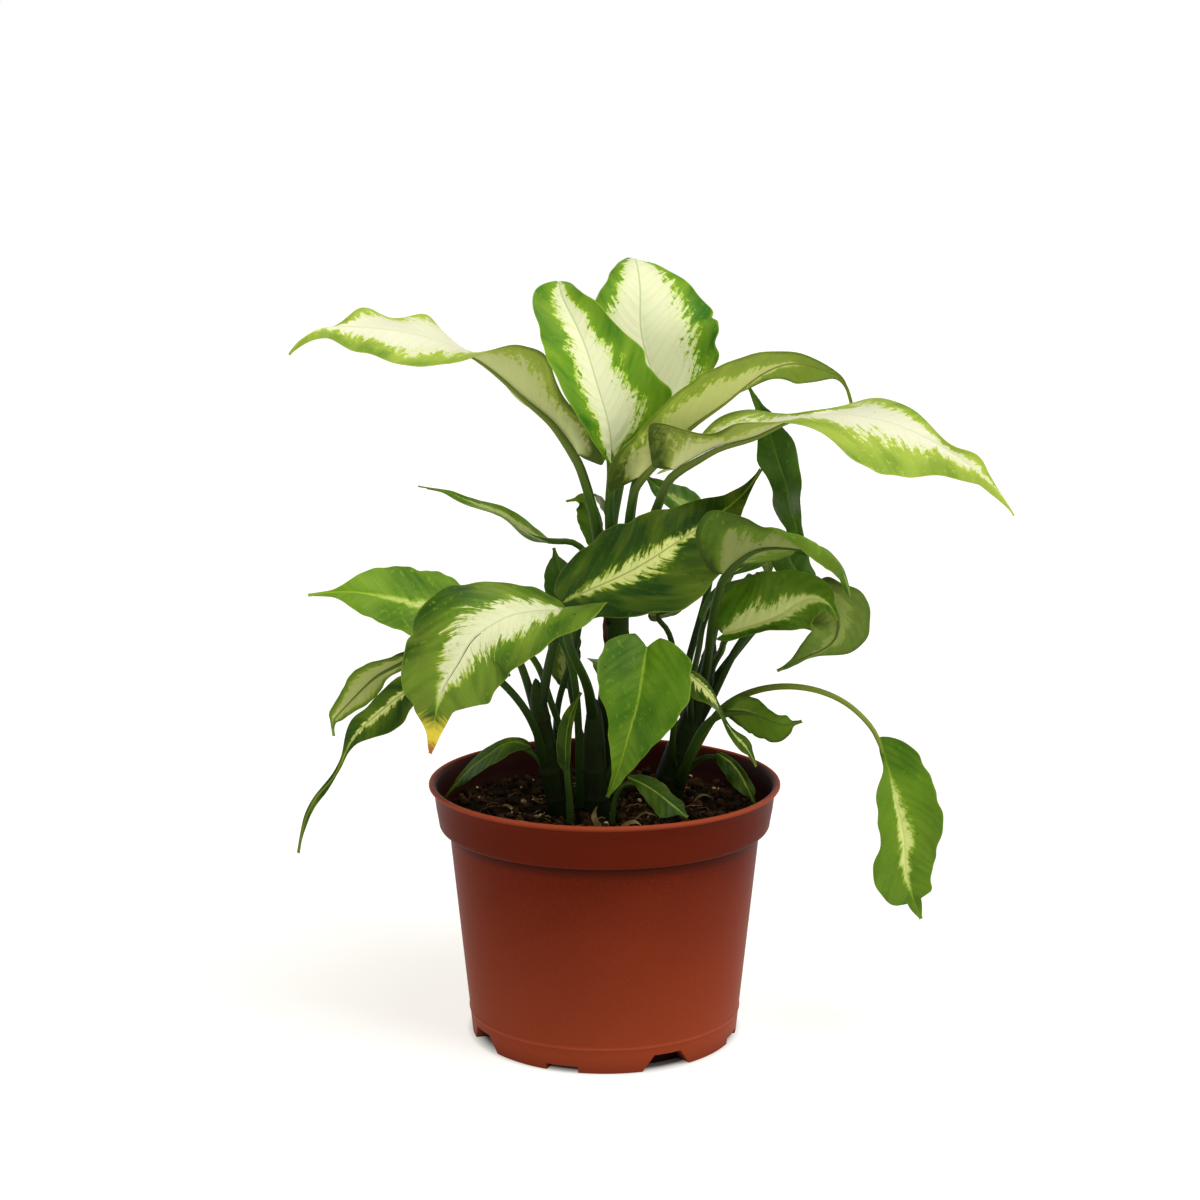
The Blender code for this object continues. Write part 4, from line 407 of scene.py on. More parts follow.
# Fans that close such a grid's first and last ring. Their two middle points follow the grid's own.
def endFans(rows, ring):
    j = np.arange(ring)
    k = (j + 1) % ring
    middle = np.full(ring, rows * ring)
    last = (rows - 1) * ring
    return np.concatenate([np.stack([middle, j, k], axis=1),
                           np.stack([middle + 1, last + k, last + j], axis=1)])


# Makes a mesh object from points in millimetres. slots has each face's material, and each attribute is
# a name and one value or three a point.
def makePiece(name, points, faces, materials, slots=None, attributes=()):
    mesh = bpy.data.meshes.new(name)
    mesh.from_pydata((np.asarray(points) * mm).tolist(), [], faces)
    for label, values in attributes:
        kind, field = ("FLOAT_VECTOR", "vector") if values.ndim == 2 else ("FLOAT", "value")
        store = mesh.attributes.new(label, kind, "POINT")
        store.data.foreach_set(field, values.astype(np.float32).ravel())
    for material in materials:
        mesh.materials.append(material)
    if slots is not None:
        mesh.polygons.foreach_set("material_index", np.asarray(slots, np.int32))
    mesh.shade_smooth()
    piece = bpy.data.objects.new(name, mesh)
    bpy.context.scene.collection.objects.link(piece)
    return piece


# A piece rides on the one body and stands for the nodes it names.
# slot is not used.
def settle(piece, slot, *nodes):
    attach(piece, "root")
    if nodes:
        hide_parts(*nodes)


# A tube along places: each ring is its place plus radius times (cosine up + sine across), where up is
# the guide direction made square to the path. groove flattens the upper side, and the ends close at
# a point. Gives points, quads, end fans and the turn of each point in a ring.
def tubeSurface(places, radii, sides, guide, groove=0.0):
    ahead = unit(np.gradient(places, axis=0))
    up = unit(guide - (guide * ahead).sum(axis=1, keepdims=True) * ahead)
    across = np.cross(ahead, up)
    turn = np.linspace(0.0, math.tau, sides, endpoint=False)
    reach = np.asarray(radii)[:, None] * (1.0 - groove * np.maximum(np.cos(turn), 0.0) ** 3)
    ring = up[:, None] * np.cos(turn)[:, None] - across[:, None] * np.sin(turn)[:, None]
    points = places[:, None] + ring * reach[..., None]
    points = np.concatenate([points.reshape(-1, 3), places[:1], places[-1:]])
    return points, ringFaces(len(places), sides)[:, ::-1], endFans(len(places), sides), turn


# Many tubes as one mesh: their points one after another, and each tube's faces in its own material.
def makeTubes(name, slot, tubes, materials, tones):
    faces, slots, shift = [], [], 0
    for (points, quads, fans), tone in zip(tubes, tones):
        faces += (quads + shift).tolist() + (fans + shift).tolist()
        slots += [tone] * (len(quads) + len(fans))
        shift += len(points)
    piece = makePiece(name, np.concatenate([tube[0] for tube in tubes]), faces, materials, slots)
    settle(piece, slot)


# A blade's measures. sweep, curl and sway bend the side veins, stagger sets the right half's apart, and
# nibbles are the share and count of the small sines that make the edge uneven.
bladeForm = dict(thick=0.5, rimThin=0.45, rimRound=0.16, narrowest=0.6, fineGrid=(120, 43),
                 smallGrid=(60, 25), fineWidth=12, veinGap=4.6, pleat=0.11, sweep=0.8, curl=60.0,
                 sway=(1.1, 0.31), stagger=3.1, grooveDepth=0.2, grooveWidth=0.9, sinus=4.0, waveLag=0.37,
                 rollStart=0.66, rollPull=0.6, nibbles=((0.022, 5.3), (0.014, 9.7)), nibbleLag=0.4)


# Half width at u: a power curve u^p (1-u)^q scaled to 1 at its peak, joined with a short drip tip.
def outlineWidth(leaf, u):
    basePower, tipPower = leaf["shape"]
    dripLength, dripWidth = leaf["drip"]
    peak = basePower / (basePower + tipPower)
    top = peak ** basePower * (1.0 - peak) ** tipPower
    x = np.clip(u / (1.0 - dripLength), 0.0, 1.0)
    body = x ** basePower * (1.0 - x) ** tipPower / top
    drip = np.clip((1.0 - u) / dripLength, 0.0, 1.0) ** 0.8 * np.clip(u / peak - 0.5, 0.0, 1.0)
    return np.hypot(body, dripWidth * drip)


# The midrib's place at u with three directions there: along it, out of the upper side, to the right.
def ribFrame(leaf, u):
    nudge = 0.001
    ahead = naturalCurve(leaf["rib"], np.clip(u + nudge, 0.0, 1.0))
    along = unit(ahead - naturalCurve(leaf["rib"], np.clip(u - nudge, 0.0, 1.0)))
    face = naturalCurve(leaf["face"], u, even=True)
    normal = unit(face - (face * along).sum(axis=1, keepdims=True) * along)
    return naturalCurve(leaf["rib"], u), along, normal, np.cross(along, normal)


# The middle surface at (u, v): the midrib, plus side times cos(fold) times |v| half width, plus normal
# times (sin(fold) |v| half width and the margin's wave), less along times the basal lobe, which grows
# with the width sinus times faster, so that a large sinus closes the notch between lobes. margin holds
# what each half width is multiplied by at even steps, in hundredths, and roll bends the outer third
# over underneath.
def bladeSurface(leaf, u, v):
    form = bladeForm
    rib, along, normal, side = ribFrame(leaf, u)
    right = (v > 0).astype(int)
    ownHalf = np.arange(len(u)), right
    reach = np.abs(v)
    width = outlineWidth(leaf, u)
    fold = np.radians(naturalCurve(leaf["fold"], u, even=True))[ownHalf]
    stretch = naturalCurve(np.transpose(leaf["margin"]) / 100.0, u, even=True)[ownHalf]
    amount, waves, phase = leaf["wave"]
    for share, count in form["nibbles"]:
        turn = math.tau * (count * (u + phase) + form["nibbleLag"] * right)
        stretch = stretch * (1.0 + share * np.sin(turn))
    half = np.maximum(width * stretch * np.array(leaf["wide"])[right], form["narrowest"])
    ripple = np.sin(math.tau * (waves * u + phase + form["waveLag"] * right))
    rise = np.sin(fold) * reach * half
    rise += np.array(amount)[right] * reach ** 1.6 * ripple * np.minimum(1.0, 2.5 * width)
    growth = np.minimum(1.0, form["sinus"] * width)
    back = np.array(leaf["lobe"])[right] * reach ** 2 * (1.0 - u) ** 6 * growth
    across = np.sign(v) * np.cos(fold) * reach * half
    rolled, rollFrom, rollTo = leaf["roll"]
    start = form["rollStart"]
    bent = np.clip((reach - start) / (1.0 - start), 0.0, 1.0) ** 2 * np.array(rolled, float)[right]
    bent = bent * np.clip((u - rollFrom) / (rollTo - rollFrom), 0.0, 1.0) * np.minimum(1.0, 2.0 * width)
    rise -= bent
    across -= np.sign(v) * form["rollPull"] * bent
    return rib + side * across[:, None] + normal * rise[:, None] - along * back[:, None], half


# The blade as a closed shell: upper and lower skins stand half the thickness off the middle surface,
# both lifted by pleats that follow the side veins, the upper one sunk along the midrib. Rows crowd
# towards the base as t^1.8, where the outline turns fastest, and a little towards the tip.
def bladeShell(leaf, phase):
    form = bladeForm
    rows, columns = form["fineGrid" if max(leaf["wide"]) > form["fineWidth"] else "smallGrid"]
    t = np.linspace(0.0, 1.0, rows)
    u = 1.0 - (1.0 - t ** 1.8) ** 1.3
    v = np.linspace(-1.0, 1.0, columns)
    uGrid, vGrid = np.meshgrid(u, v, indexing="ij")
    middle, half = bladeSurface(leaf, uGrid.ravel(), vGrid.ravel())
    middle = middle.reshape(rows, columns, 3)
    edge = np.abs(vGrid)
    distance = edge * half.reshape(rows, columns)
    normal = unit(np.cross(np.gradient(middle, axis=1), np.gradient(middle, axis=0)))
    length = routeLength(naturalCurve(leaf["rib"], np.linspace(0.0, 1.0, 60)))
    vein = uGrid * length - form["sweep"] * distance - distance ** 2 / form["curl"]
    swing, rate = form["sway"]
    vein = vein + swing * np.sin(rate * vein + phase) + form["stagger"] * (vGrid > 0)
    fade = np.clip(distance / 3.0, 0.0, 1.0) * np.clip((1.0 - edge) * 4.0, 0.0, 1.0)
    pleat = form["pleat"] * fade * np.cos(math.tau * vein / form["veinGap"])
    groove = form["grooveDepth"] * np.exp(-(distance / form["grooveWidth"]) ** 2)
    skin = form["thick"] / 2 * (1.0 - form["rimThin"] * edge ** 6)
    upper = middle + normal * (skin + pleat - groove)[..., None]
    lower = middle + normal * (pleat - skin)[..., None]
    rightRim = middle[:, -1:] + unit(middle[:, -1:] - middle[:, -2:-1]) * form["rimRound"]
    leftRim = middle[:, :1] + unit(middle[:, :1] - middle[:, 1:2]) * form["rimRound"]
    shell = np.concatenate([upper, rightRim, lower[:, ::-1], leftRim], axis=1)
    share = naturalCurve([[c] for c in leaf["cream"]], u, even=True)
    share = share * np.array(leaf["creamSides"])[(v > 0).astype(int)]

    # one ring of a row: right across above, over the right rim, back below, over the left rim
    def ringOf(values):
        return np.concatenate([values, values[:, -1:], values[:, ::-1], values[:, :1]], axis=1)

    ring = 2 * columns + 2
    under = np.zeros((rows, ring))
    under[:, columns + 1:-1] = 1.0
    under[:, [columns, -1]] = 0.5
    veins = np.stack([ringOf(vein), ringOf(distance), np.full_like(under, phase)], axis=-1)
    blade = np.stack([ringOf(uGrid), ringOf(edge), under], axis=-1)
    j = np.arange(columns - 1)
    opposite = 2 * columns - j
    base = np.stack([j + 1, j, opposite, opposite - 1], axis=1)
    baseEnds = np.array([[0, ring - 1, 2 * columns], [columns + 1, columns, columns - 1]])
    top = (rows - 1) * ring
    quads = np.concatenate([ringFaces(rows, ring), base, base[:, ::-1] + top])
    ends = np.concatenate([baseEnds, baseEnds[:, ::-1] + top])
    cream = ringOf(share - edge).ravel()
    return shell.reshape(-1, 3), quads, ends, veins.reshape(-1, 3), blade.reshape(-1, 3), cream


stalkForm = dict(sides=16, step=3.0, ribStep=4.0, fewest=8, sheath=0.25, sheathLength=14.0, groove=0.22,
                 ribEnd=0.94, ribTip=0.28, ribThin=3.2, easeTimes=6)


# The stalk with the midrib under the blade: one path, its radius swelling by a quarter where it
# clasps its cane, and thinning fast under the blade almost to the tip. The bend where the two meet is
# eased: each place there moves to the mean of itself and its neighbours, six times.
def stalkTube(leaf):
    form = stalkForm
    footRadius, bladeRadius = leaf["stem"]
    length = routeLength(leaf["stalk"])
    steps = max(form["fewest"], round(length / form["step"]))
    t = np.linspace(0.0, 1.0, steps + 1)
    sheath = 1.0 + form["sheath"] * np.exp(-(t * length / form["sheathLength"]) ** 2)
    stalkRadii = (footRadius + (bladeRadius - footRadius) * t) * sheath
    ribSteps = max(form["fewest"], round(routeLength(leaf["rib"]) / form["ribStep"]))
    ribEnd, ribTip = form["ribEnd"], form["ribTip"]
    u = np.linspace(0.0, ribEnd, ribSteps)[1:]
    rib, normal = ribFrame(leaf, u)[::2]
    ribRadii = ribTip + (bladeRadius - ribTip) * (1.0 - u / ribEnd) ** form["ribThin"]
    places = np.concatenate([naturalCurve(leaf["stalk"], t), rib - normal * ribRadii[:, None]])
    near = np.exp(-((np.arange(len(places)) - steps - 0.5) / 2.0) ** 2)[1:-1, None]
    for ease in range(form["easeTimes"]):
        mean = (places[:-2] + 2.0 * places[1:-1] + places[2:]) / 4.0
        places[1:-1] += near * (mean - places[1:-1])
    guide = np.concatenate([np.repeat(normal[:1], len(t), axis=0), normal])
    radii = np.concatenate([stalkRadii, ribRadii])
    points, quads, fans, turn = tubeSurface(places, radii, form["sides"], guide, form["groove"])
    share = np.concatenate([t, 1.0 + u])
    rings = np.stack(np.broadcast_arrays(share[:, None], turn / math.tau, 2.0), axis=-1)
    ends = [[0.0, 0.0, 2.0], [1.0 + ribEnd, 0.0, 2.0]]
    return points, quads, fans, np.concatenate([rings.reshape(-1, 3), ends])


# A leaf: the blade's shell and the stalk's tube in one mesh. Both carry the attributes veins (run along
# the side veins, distance from the midrib, phase) and blade (u, |v|, 0 above, 1 below, 2 on the stalk).
def makeLeaf(name, leaf, phase, materials):
    shell, quads, ends, veins, blade, cream = bladeShell(leaf, phase)
    tube, tubeQuads, tubeFans, stalkPlace = stalkTube(leaf)
    shift = len(shell)
    faces = quads.tolist() + ends.tolist() + (tubeQuads + shift).tolist() + (tubeFans + shift).tolist()
    slots = (np.arange(len(faces)) >= len(quads) + len(ends)).astype(int)
    tubeVeins = np.zeros((len(tube), 3))
    tubeVeins[:, 0] = stalkPlace[:, 0] * routeLength(leaf["stalk"])
    tubeVeins[:, 2] = phase
    attributes = [("veins", np.concatenate([veins, tubeVeins])),
                  ("blade", np.concatenate([blade, stalkPlace])),
                  ("cream", np.concatenate([cream, np.zeros(len(tube))]))]
    piece = makePiece(name + "Leaf", np.concatenate([shell, tube]), faces, materials, slots, attributes)
    settle(piece, "leaf", name)
    return len(faces)


# Each look: the margin's green, its lighter tone, the tone between green and pale, the pale centre, the
# underside's tint, its darker rim and the stalk; then how far the tint takes over, and how strongly the
# midrib, the teeth and the mottling of the border are drawn.
# The looks also carry painted light: bright is for the top leaves in full light, and middle and shady are
# for lower leaves and leaves inside the plant, whose greens and pale centres are darker as painted shade
# over the leaf's own colour.
lookColours = ("deep", "fresh", "between", "pale", "under", "rim", "stalk")
lookShares = ("underShare", "rib", "teeth", "mottle")
lookRows = {
    "bright": [(46, 98, 14), (92, 138, 24), (164, 190, 52), (214, 217, 176), (204, 210, 96), (74, 102, 18),
               (42, 68, 8), 0.6, 0.4, 0.6, 0.6],
    "golden": [(92, 126, 32), (156, 176, 66), (182, 199, 80), (213, 213, 184), (190, 198, 98), (60, 86, 14),
               (42, 68, 8), 0.62, 0.25, 0.95, 0.85],
    "middle": [(24, 50, 4), (46, 76, 8), (120, 140, 32), (196, 201, 122), (104, 120, 42), (48, 70, 14),
               (44, 66, 12), 0.68, 0.5, 1.35, 0.3],
    "arched": [(44, 76, 9), (102, 142, 28), (126, 146, 42), (194, 200, 126), (78, 92, 34), (46, 68, 14),
               (44, 66, 12), 0.72, 0.5, 1.3, 0.3],
    "olive": [(66, 94, 22), (96, 124, 38), (128, 146, 56), (172, 182, 104), (126, 146, 66), (74, 98, 34),
              (44, 66, 12), 0.75, 0.4, 1.0, 0.3],
    "shady": [(40, 72, 13), (74, 110, 26), (88, 118, 40), (140, 156, 80), (66, 90, 30), (40, 62, 14),
              (38, 60, 12), 0.5, 0.3, 0.6, 0.3],
    "lime": [(64, 104, 8), (106, 144, 18), (144, 174, 44), (206, 212, 134), (140, 154, 72), (74, 98, 24),
             (54, 84, 14), 0.55, 0.35, 0.7, 0.4],
    "fresh": [(42, 78, 6), (82, 120, 13), (124, 150, 38), (194, 202, 122), (108, 130, 44), (54, 80, 14),
              (44, 68, 12), 0.6, 0.25, 0.75, 0.35],
    "broad": [(32, 64, 7), (90, 124, 28), (146, 164, 54), (202, 205, 164), (112, 134, 48), (56, 82, 14),
              (44, 68, 12), 0.6, 0.25, 1.2, 0.25],
}
looks = {name: dict([*zip(lookColours, (paint(*colour) for colour in row[:7])), *zip(lookShares, row[7:])])
         for name, row in lookRows.items()}
looks["pendant"] = dict(looks["fresh"], stalk=paint(112, 128, 44))
leafExtras = dict(fleck=paint(34, 44, 8), rimBase=paint(32, 52, 8), tip=paint(208, 190, 62),
                  end=paint(160, 102, 44))


# Green turns pale where the pale share less the distance from the midrib, shaken by three noises (broad
# wander, teeth along the side veins, fine speckle), passes zero. The green is freshest beside the pale. The
# underside is the same pattern under a tint, which is partly its own paler colour and partly a painted glow
# of light shining through the leaf, darker round its rim and base.
def bladeMaterial(name, look):
    material, tree, shader = newMaterial("blade" + name.capitalize())
    fresh, between = look["fresh"], look["between"]
    vein, distance, phase = readAttribute(tree, "veins")
    along, reach, under = readAttribute(tree, "blade")
    cream = readNumber(tree, "cream")
    place = objectPlace(tree)

    # noise whose spots are as long as the two scales make them, across the side veins and along them
    def veinNoise(across, outward, detail, roughness):
        return noise(joinAxes(times(vein, across), times(distance, outward), phase), 1.0, detail, roughness)

    wander = veinNoise(0.07, 0.06, 2.0, 0.5)
    teeth = veinNoise(0.42, 0.12, 3.0, 0.62)
    threads = veinNoise(1.4, 0.3, 2.0, 0.55)
    speckle = noise(place, 400.0, 3.0, 0.65)
    drift = noise(place, 34.0, 2.0)
    swing = remap(calc("MAXIMUM", calc("ADD", cream, reach), 0.0), 0.0, 0.4, 0.12, 1.0)
    close = times(swing, remap(calc("ABSOLUTE", cream), 0.3, 0.06))
    shaken = timesAdd(minus(wander, 0.5), times(swing, 0.5), cream)
    beside = remap(shaken, -0.4, -0.03, 0.0, 0.65, smooth=True)
    for texture, size in ((teeth, times(swing, look["teeth"])), (threads, times(swing, 0.3)),
                          (speckle, times(close, look["mottle"]))):
        shaken = timesAdd(minus(texture, 0.5), size, shaken)
    green = layer(look["deep"], fresh, drift, 0.38, 0.68, 0.6)
    green = mixColour(times(beside, swing), green, fresh)
    green = layer(green, fresh, threads, 0.45, 0.75, 0.12)
    colour = layer(green, between, shaken, -0.06, 0.0, 0.85)
    colour = layer(colour, look["pale"], shaken, 0.0, 0.075)
    soft = times(remap(shaken, 0.34, 0.06), remap(wander, 0.4, 0.62, 0.0, 0.3))
    colour = mixColour(soft, colour, between)  # clouds in the pale
    strewn = times(remap(speckle, 0.58, 0.66, 0.0, 0.7), remap(shaken, -0.2, -0.04))
    colour = mixColour(times(strewn, close), colour, between)  # pale dots in the green
    flecks = times(remap(speckle, 0.42, 0.35), remap(shaken, 0.16, 0.02))
    colour = mixColour(times(flecks, 0.8), colour, fresh)  # green dots in the pale
    wave = calc("ABSOLUTE", minus(calc("FRACT", calc("DIVIDE", vein, bladeForm["veinGap"])), 0.5))
    ribColour = layer(between, fresh, shaken, 0.0, 0.12)
    lines = remap(shaken, -0.02, 0.1, 0.05, 0.08)
    colour = layer(colour, ribColour, wave, 0.34, 0.5, lines, smooth=True)  # side veins
    colour = layer(colour, ribColour, distance, 0.5, 0.15, look["rib"], smooth=True)
    colour = layer(colour, between, reach, 0.975, 1.0, 0.4)  # thin light edge
    dots = fedNode("TexVoronoi", {"Vector": place, "Scale": 85.0}, "Distance")
    colour = layer(colour, leafExtras["fleck"], dots, 0.052, 0.026, 0.75)
    # painted light in part: the underside's tint holds a glow of light through the leaf as well as its own
    # paler colour
    tint = layer(look["under"], fresh, drift, 0.42, 0.7, 0.4)
    tintShare = remap(shaken, -0.05, 0.08, look["underShare"] * 0.6, look["underShare"])
    tinted = mixColour(tintShare, colour, tint)
    margin = times(distance, minus(calc("DIVIDE", 1.0, reach), 1.0))  # millimetres in from the edge
    nearBase = remap(along, 0.24, 0.04, smooth=True)
    margin = timesAdd(nearBase, -2.2, timesAdd(teeth, -3.2, margin))
    rimShare = remap(margin, 0.6, -2.2, 0.0, 0.8, smooth=True)
    lobe = timesAdd(speckle, 0.2, timesAdd(teeth, 0.2, along))
    baseShare = times(remap(lobe, 0.4, 0.22, 0.0, 0.9), remap(reach, 0.2, 0.7))
    rimColour = mixColour(nearBase, look["rim"], leafExtras["rimBase"])
    tinted = mixColour(calc("MAXIMUM", rimShare, baseShare), tinted, rimColour)
    colour = mixColour(under, colour, tinted)
    if name == "broad":  # a yellow tip with a brown end
        colour = layer(colour, leafExtras["tip"], timesAdd(teeth, 0.14, along), 0.9, 0.97)
        colour = layer(colour, leafExtras["end"], timesAdd(threads, 0.08, along), 0.975, 1.01)
    rough = timesAdd(under, 0.2, remap(threads, 0.3, 0.7, 0.4, 0.52))
    relief = timesAdd(drift, 2.0, timesAdd(wave, 0.25, times(threads, 0.3)))
    finishSkin(shader, colour, rough, 0.1, relief, 0.4, 0.8)
    return material


# Stalk green that lightens under the blade and, as painted shade, darkens into the plant, with fine threads
# along it.
def stalkMaterial(name, look):
    material, tree, shader = newMaterial("stalk" + name.capitalize())
    along, turn = readAttribute(tree, "blade")[:2]
    length, phase = readAttribute(tree, "veins")[::2]
    threads = noise(joinAxes(times(turn, 26.0), times(length, 0.06), phase), 1.0, 3.0, 0.6)
    light = [0.6 * stalk + 0.4 * under for stalk, under in zip(look["stalk"], look["under"])]
    colour = layer(look["stalk"], light, along, 0.75, 1.5)
    colour = layer(colour, look["deep"], threads, 0.45, 0.7, 0.45)
    # painted shade: the stalk goes near black towards its foot inside the plant
    colour = layer(colour, caneForm["dark"], along, 0.6, 0.05, 0.8)
    finishSkin(shader, colour, remap(threads, 0.3, 0.7, 0.4, 0.55), 0.12, threads, 0.15, 0.5)
    return material


# Every leaf in turn, its midrib joined on to its stalk. The phase, which shifts its noises and veins,
# steps by the golden ratio.
def makeLeaves():
    skins = {name: [bladeMaterial(name, look), stalkMaterial(name, look)] for name, look in looks.items()}
    total = 0
    for number, (name, row) in enumerate(leaves.items()):
        leaf = {**plainLeaf, **row, "rib": row["stalk"][-1:] + row["rib"]}
        phase = (number * 0.618034 % 1.0) * 9.0
        total += makeLeaf(name, leaf, phase, skins[leaf["look"]])
    print("leaves done:", len(leaves), "with", total, "faces")


# dark is painted shade: the near-black green low in the plant, on the canes and at the stalks' feet.
caneForm = dict(step=1.0, tipLength=16.0, sides=28, nodeGap=10.5, nodeRise=0.28, nodeWidth=0.8,
                dark=paint(9, 18, 2), green=paint(34, 54, 10), scar=paint(44, 54, 18),
                earthy=paint(22, 20, 7))


# A cane: a tube whose radius rises by nodeRise times a narrow bell at each leaf scar, every nodeGap,
# and closes in a round tip. stem holds the run along it, the turn and the distance from a scar.
def makeCane(name, cane, number, material):
    form = caneForm
    length = routeLength(cane["points"])
    t = np.linspace(0.0, 1.0, round(length / form["step"]) + 1)
    run = t * length + 2.7 * number
    near = ((run / form["nodeGap"] + 0.12 * np.sin(run / 17.0)) % 1.0 - 0.5) * form["nodeGap"]
    radii = naturalCurve([[r] for r in cane["radii"]], t, even=True)[:, 0]
    radii = radii + form["nodeRise"] * np.exp(-(near / form["nodeWidth"]) ** 2)
    left = np.clip((1.0 - t) * length / form["tipLength"], 0.0, 1.0)
    radii = radii * np.sqrt(np.maximum(1.0 - (1.0 - left) ** 2, 0.004))
    places = naturalCurve(cane["points"], t)
    points, quads, fans, turn = tubeSurface(places, radii, form["sides"], np.array([0.0, -1.0, 0.0]))
    ring = np.stack(np.broadcast_arrays(t[:, None] * length, turn * 4.0, near[:, None]), axis=-1)
    values = np.concatenate([ring.reshape(-1, 3), [[0.0, 0.0, 9.0], [length, 0.0, 9.0]]])
    piece = makePiece(name.replace("_", "") + "Stem", points, quads.tolist() + fans.tolist(), [material],
                      attributes=[("stem", values)])
    settle(piece, "green_cane", name)


# Cane that is near black low down as painted shade and turns green with height, earthy in blotches, with
# lighter threads and scar rings.
def caneMaterial():
    material, tree, shader = newMaterial("caneSkin")
    form = caneForm
    run, turn, scar = readAttribute(tree, "stem")
    place = objectPlace(tree)
    blotch = noise(place, 90.0, 4.0, 0.6)
    threads = noise(joinAxes(times(turn, 1.6), times(run, 0.1), 0.0), 1.0, 3.0, 0.6)
    # painted shade: near black up to 9 cm high, green from 16 cm up
    colour = layer(form["dark"], form["green"], splitAxes(place)[2], 0.09, 0.16)
    colour = layer(colour, form["earthy"], blotch, 0.45, 0.68, 0.7)
    colour = layer(colour, form["scar"], calc("ABSOLUTE", scar), 1.0, 0.3, 0.2, smooth=True)
    colour = layer(colour, form["scar"], threads, 0.5, 0.75, 0.3)
    rough = remap(threads, 0.3, 0.7, 0.5, 0.68)
    finishSkin(shader, colour, rough, 0.07, calc("ADD", threads, blotch), 0.3, 0.6)
    return material


# Every cane in turn, its scars set off from the last one's.
def makeCanes():
    material = caneMaterial()
    for number, (name, cane) in enumerate(canes.items()):
        makeCane(name, cane, number, material)
    print("canes done:", len(canes))


# The pot's measures. A pocket is a deep slanted notch in the foot and a slot a low one, four of each. Of
# the colours, shade is a darker tone for the clouds and also painted shade, light is the grain's and also
# painted light, and inside is painted shade in the hollows and on the inner wall.
potForm = dict(height=103, lipRadius=70, collarTop=68.2, collarFootRadius=66, bodyTopRadius=61.6,
               bodyTop=80, footRadius=53.4, wall=1.6, floor=2, lineRise=0.3, lineHeight=10.2,
               pocketTurn=27, slotTurn=72, pocketTopWidth=11.5, pocketFootWidth=21, pocketHeight=6.5,
               slotWidth=13, slotHeight=2.6, pocketDepthRadius=46, shade=paint(76, 20, 5),
               body=paint(94, 28, 9), light=paint(150, 66, 38), inside=paint(30, 10, 5))


# The wall's outer radius at a height: the foot's plus an even slope to the body's top.
def wallRadius(z):
    p = potForm
    return p["footRadius"] + (p["bodyTopRadius"] - p["footRadius"]) / p["bodyTop"] * z


# The pot's profile as radius and height, and how many of its pairs are the inside: up the inner wall,
# over the round lip, down the collar, the body and the raised line, and in under the foot.
def potProfile():
    p = potForm
    top, lip, collar = p["height"], p["lipRadius"], p["collarTop"]
    foot, body = p["collarFootRadius"], p["bodyTopRadius"]
    inner = [(30.0, 2.0)] + [(wallRadius(z) - p["wall"], z) for z in (2, 5, 8.4, 12, 20, 35, 50, 65, 80)]
    inner += [(body - 1.1, 83), (foot - 1.6, 87.5), (collar - 2.4, 94), (collar - 1.6, 101),
              (lip - 2.4, 102.4)]
    outer = [(lip - 0.9 + 0.9 * math.cos(a), top - 1.0 + math.sin(a))
             for a in np.radians([100, 70, 40, 10, -20, -50, -75])]
    outer += [(collar + 0.25, top - 2.5), (collar, top - 3.4), (collar - 0.5, 98), (collar - 1.1, 93),
              (foot + 0.1, 87.2), (foot - 0.05, 86.1), (foot - 0.4, 85.4), (foot - 1.0, 85),
              (body + 1.4, 84.7), (body + 0.7, 84.4), (body + 0.3, 83.6)]
    outer += [(wallRadius(z), z) for z in (78, 74, 68, 60, 52, 44, 36, 28, 20, 14, 11.4)]
    outer += [(wallRadius(z) + p["lineRise"] * rise, z)
              for z, rise in ((10.8, 0.15), (10.4, 0.9), (10.0, 0.9), (9.6, 0.15), (9.2, 0.0))]
    pocket, slot = p["pocketHeight"], p["slotHeight"]
    outer += [(wallRadius(z), z) for z in (8.0, pocket, pocket, 5.0, 3.6, slot, slot, 1.2, 0.3)]
    outer += [(p["footRadius"] - 0.3, 0.0), (p["pocketDepthRadius"], 0.0), (30.0, 0.0)]
    return np.array(inner + outer, float), len(inner)


# Columns round the pot: angles in degrees whose pocket and slot edges stand twice, with 1 where a
# column lies inside a pocket, 2 inside a slot and 0 elsewhere. Edge columns lean with the slanted sides.
def potColumns(high):
    p = potForm
    lean = np.clip(high / p["pocketHeight"], 0.0, 1.0)
    width = p["pocketFootWidth"] + (p["pocketTopWidth"] - p["pocketFootWidth"]) * lean
    pocket = np.degrees(width / 2 / p["footRadius"])
    slot = np.full_like(pocket, np.degrees(p["slotWidth"] / 2 / p["footRadius"]))
    blend = np.clip((high - 8.0) / 14.0, 0.0, 1.0)
    pocket = pocket + blend * (9.0 - pocket)
    edges = [p["pocketTurn"] - pocket, p["pocketTurn"] + pocket, p["slotTurn"] - slot, p["slotTurn"] + slot]
    edges.append(edges[0] + 90.0)
    turns, marks = [], []
    for quarter in range(4):
        for start, end, count, mark in zip(edges, edges[1:], (9, 14, 7, 13), (1, 0, 2, 0)):
            turns.append(90.0 * quarter + start + (end - start) * np.linspace(0.0, 1.0, count)[:, None])
            marks.append(np.full(count, mark))
    return np.concatenate(turns), np.concatenate(marks)


